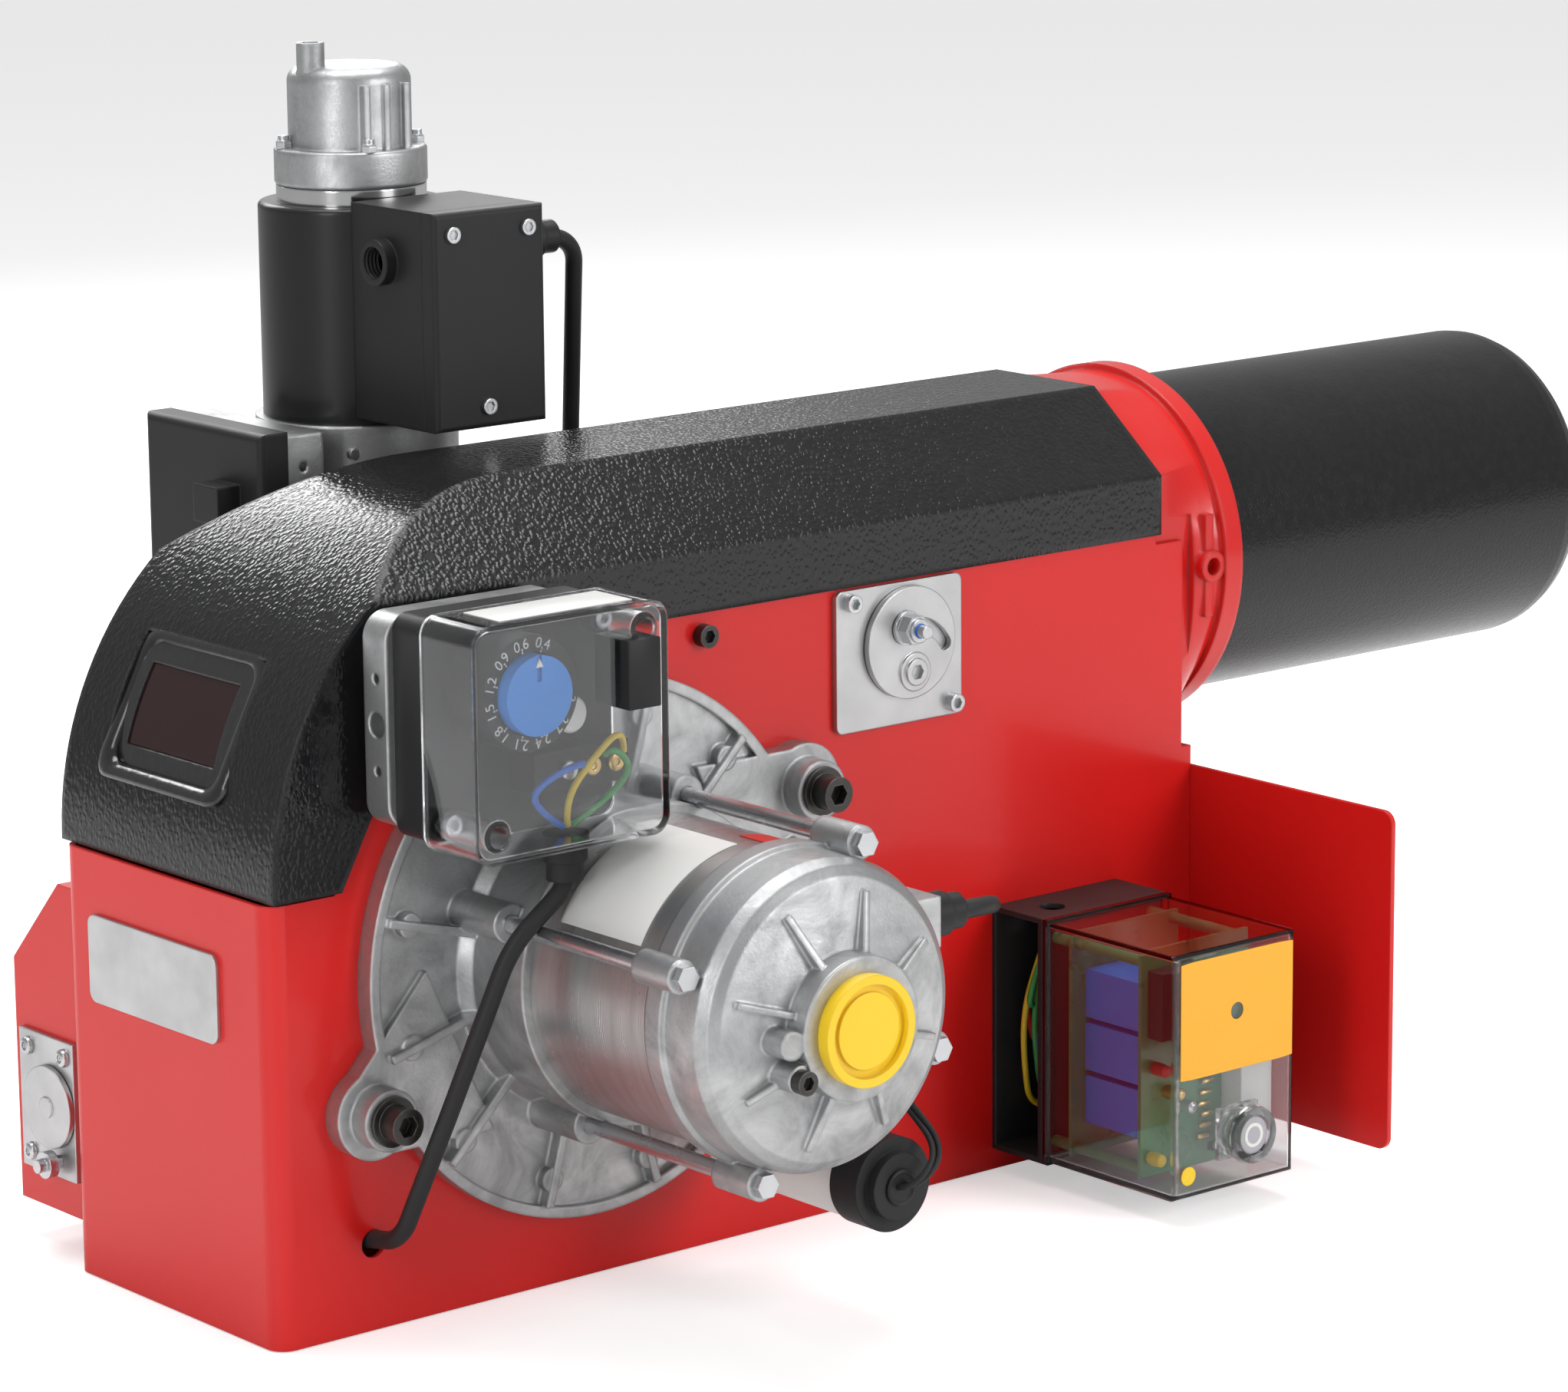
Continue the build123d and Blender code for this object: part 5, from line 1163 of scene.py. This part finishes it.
@dataclass
class GasValve:
    """Gas valve with coil, cap screws and thread of the open entry."""

    make: Maker
    finishes: dict[str, str] = field(default_factory=lambda: {
        "valve_body": "cast_alu", "coil": "coil_black", "armature_tube": "bright_steel", "plunger": "steel",
        "valve_cap": "cast_alu", "terminal_box": "black_plastic", "terminal_lid": "black_plastic",
        "lid_screws": "zinc", "valve_lead": "black_rubber", "gas_pipe": "pipe_steel",
        "gas_switch_base": "cast_alu", "gas_switch_cover": "black_plastic", "test_plug": "yellow_plastic",
    })

    def build(self) -> None:
        """Make the cap screws, entry thread and collar screw."""
        self._cap_screws()
        self._thread()
        self._collar_screw()

    def _cap_screws(self) -> None:
        """Hex screws on the cap flange."""
        low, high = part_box("valve_cap")
        centre = (low + high) / 2
        top = low.z + 0.0142
        work = bmesh.new()
        for k in range(4):
            angle = math.radians(250 + 90 * k)
            spot = Vector((centre.x + 0.0255 * math.cos(angle), centre.y + 0.0255 * math.sin(angle), top))
            self.make.add_turned(work, [(0.0032, -0.0004), (0.0032, 0.0018), (0.0026, 0.0026)], spot, Axis.Z, 6)
            self.make.add_turned(work, [(0.0021, 0.002), (0.0021, 0.0044)], spot, Axis.Z, 20)
        self.make.closed("cap_screws", work, "zinc", "zinc", smooth=False)

    def _thread(self) -> None:
        """Turns of thread inside the open cable entry."""
        low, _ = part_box("terminal_box")
        work = bmesh.new()
        centre = Vector((low.x, 0.063, 0.352))
        for k in range(4):
            along = 0.0010 + 0.0016 * k
            ridge = [(0.0060, along), (0.0054, along + 0.0006), (0.0060, along + 0.0012)]
            self.make.add_turned(work, ridge, centre, Axis.X, 32)
        for face in [f for f in work.faces if len(f.verts) > 4]:
            work.faces.remove(face)
        self.make.mesh("entry_thread", work, "black_plastic", "black_plastic")

    def _collar_screw(self) -> None:
        """Small cross screw of the collar."""
        low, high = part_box("coil")
        centre = (low + high) / 2
        radius = 0.0382
        work = bmesh.new()
        angle = math.radians(232)
        spot = Vector((centre.x + radius * math.cos(angle), centre.y + radius * math.sin(angle), low.z - 0.010))
        self.make.add_turned(work, [(0.0022, -0.0012), (0.0022, 0.0012)], spot, Axis.Y, 20)
        self.make.closed("collar_screw", work, "zinc", "zinc")


# ---------------------------------------------------------------- studio
@dataclass(frozen=True)
class Studio:
    """Camera, floor and soft lights."""

    camera_at: Point = (-1.25425, -1.59047, 0.62710)
    azimuth: float = -39.677
    elevation: float = 12.186
    roll: float = -0.504
    lens: float = 128.72
    sensor: float = 36.0
    fill_level: float = 0.36
    backdrop_level: float = 0.95
    floor_lift: float = 0.45

    def colour(self) -> None:
        """Plain colour rendering without a film look."""
        settings = bpy.context.scene.view_settings
        settings.view_transform = "Standard"
        settings.look = "None"

    def camera(self) -> None:
        """Place the camera."""
        data = bpy.data.cameras.new("view")
        data.lens = self.lens
        data.sensor_width = self.sensor
        data.clip_start = 0.05
        data.clip_end = 50.0
        az, el, roll = (math.radians(v) for v in (self.azimuth, self.elevation, self.roll))
        back = Vector((math.sin(az) * math.cos(el), -math.cos(az) * math.cos(el), math.sin(el)))
        right = Vector((math.cos(az), math.sin(az), 0.0))
        up = back.cross(right)
        side = right * math.cos(roll) + up * math.sin(roll)
        top = -right * math.sin(roll) + up * math.cos(roll)
        turn = Matrix((side, top, back)).transposed()
        camera = bpy.data.objects.new("view", data)
        camera.matrix_world = Matrix.Translation(Vector(self.camera_at)) @ turn.to_4x4()
        bpy.context.scene.collection.objects.link(camera)
        bpy.context.scene.camera = camera

    def floor(self) -> None:
        """Pale floor plane under the burner."""
        data = bpy.data.meshes.new("floor")
        size = 12.0
        data.from_pydata([(-size, -size, 0), (size, -size, 0), (size, size, 0), (-size, size, 0)], [], [(0, 1, 2, 3)])
        floor = bpy.data.objects.new("floor", data)
        floor.location.z = -0.0005
        material = bpy.data.materials.new("studio_floor")
        material.use_nodes = True
        shader = material.node_tree.nodes["Principled BSDF"]
        shader.inputs["Base Color"].default_value = (0.93, 0.93, 0.93, 1.0)
        shader.inputs["Roughness"].default_value = 0.8
        seen = material.node_tree.nodes.new("ShaderNodeLightPath")
        lift = material.node_tree.nodes.new("ShaderNodeMapRange")
        lift.inputs["To Max"].default_value = self.floor_lift
        shader.inputs["Emission Color"].default_value = (1.0, 1.0, 1.0, 1.0)
        material.node_tree.links.new(seen.outputs["Is Camera Ray"], lift.inputs["Value"])
        material.node_tree.links.new(lift.outputs["Result"], shader.inputs["Emission Strength"])
        data.materials.append(material)
        bpy.context.scene.collection.objects.link(floor)

    def lights(self) -> None:
        """Large soft lamps and a bright world."""
        world = bpy.data.worlds.new("studio")
        bpy.context.scene.world = world
        world.use_nodes = True
        tree = world.node_tree
        background = tree.nodes["Background"]
        background.inputs["Color"].default_value = (1.0, 1.0, 1.0, 1.0)
        seen = tree.nodes.new("ShaderNodeLightPath")
        level = tree.nodes.new("ShaderNodeMapRange")
        level.inputs["To Min"].default_value = self.fill_level
        level.inputs["To Max"].default_value = self.backdrop_level
        tree.links.new(seen.outputs["Is Camera Ray"], level.inputs["Value"])
        tree.links.new(level.outputs["Result"], background.inputs["Strength"])
        lamps = (
            ("top_box", (0.15, 0.25, 1.9), (0.1, 0.0, 0.2), 1.6, 0.9, 30.0),
            ("left_box", (-1.9, -0.7, 0.9), (0.0, 0.0, 0.15), 0.6, 1.4, 14.0),
            ("front_box", (0.9, -2.2, 1.0), (0.1, 0.0, 0.15), 0.8, 1.2, 26.0),
            ("rear_box", (0.6, 1.8, 1.3), (0.1, 0.0, 0.2), 1.6, 0.5, 18.0),
        )
        for name, place, target, wide, tall, power in lamps:
            data = bpy.data.lights.new(name, "AREA")
            data.shape = "RECTANGLE"
            data.size = wide
            data.size_y = tall
            data.energy = power
            lamp = bpy.data.objects.new(name, data)
            lamp.location = place
            lamp.rotation_euler = (Vector(target) - Vector(place)).to_track_quat("-Z", "Y").to_euler()
            bpy.context.scene.collection.objects.link(lamp)


def dress_nodes(frame: dict, finishes: Finishes, wanted: dict[str, str]) -> None:
    """Give every CAD node its finish.

    Args:
        finishes: all finishes.
        wanted: finish name of each node.
    """
    for name, node in frame["nodes"].items():
        finish = finishes[wanted[name]]
        if node.material_slots:
            for slot in node.material_slots:
                slot.link = "DATA"
                slot.material = finish
        else:
            node.data.materials.append(finish)


def main() -> None:
    """Build the whole scene in order."""
    logging.basicConfig(level=logging.INFO, format="%(message)s")
    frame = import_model()
    studio = Studio()
    studio.colour()
    studio.camera()
    studio.floor()
    studio.lights()
    groups = EffectGroups()
    finishes = Finishes(groups)
    make = Maker(finishes)
    wanted: dict[str, str] = {}
    for part in (Carcass(make), Motor(make), PressureSwitch(make), ControlBox(make), GasValve(make)):
        part.build()
        wanted.update(part.finishes)
        LOG.info("built %s", type(part).__name__)
    dress_nodes(frame, finishes, wanted)


if __name__ == "__main__":
    main()
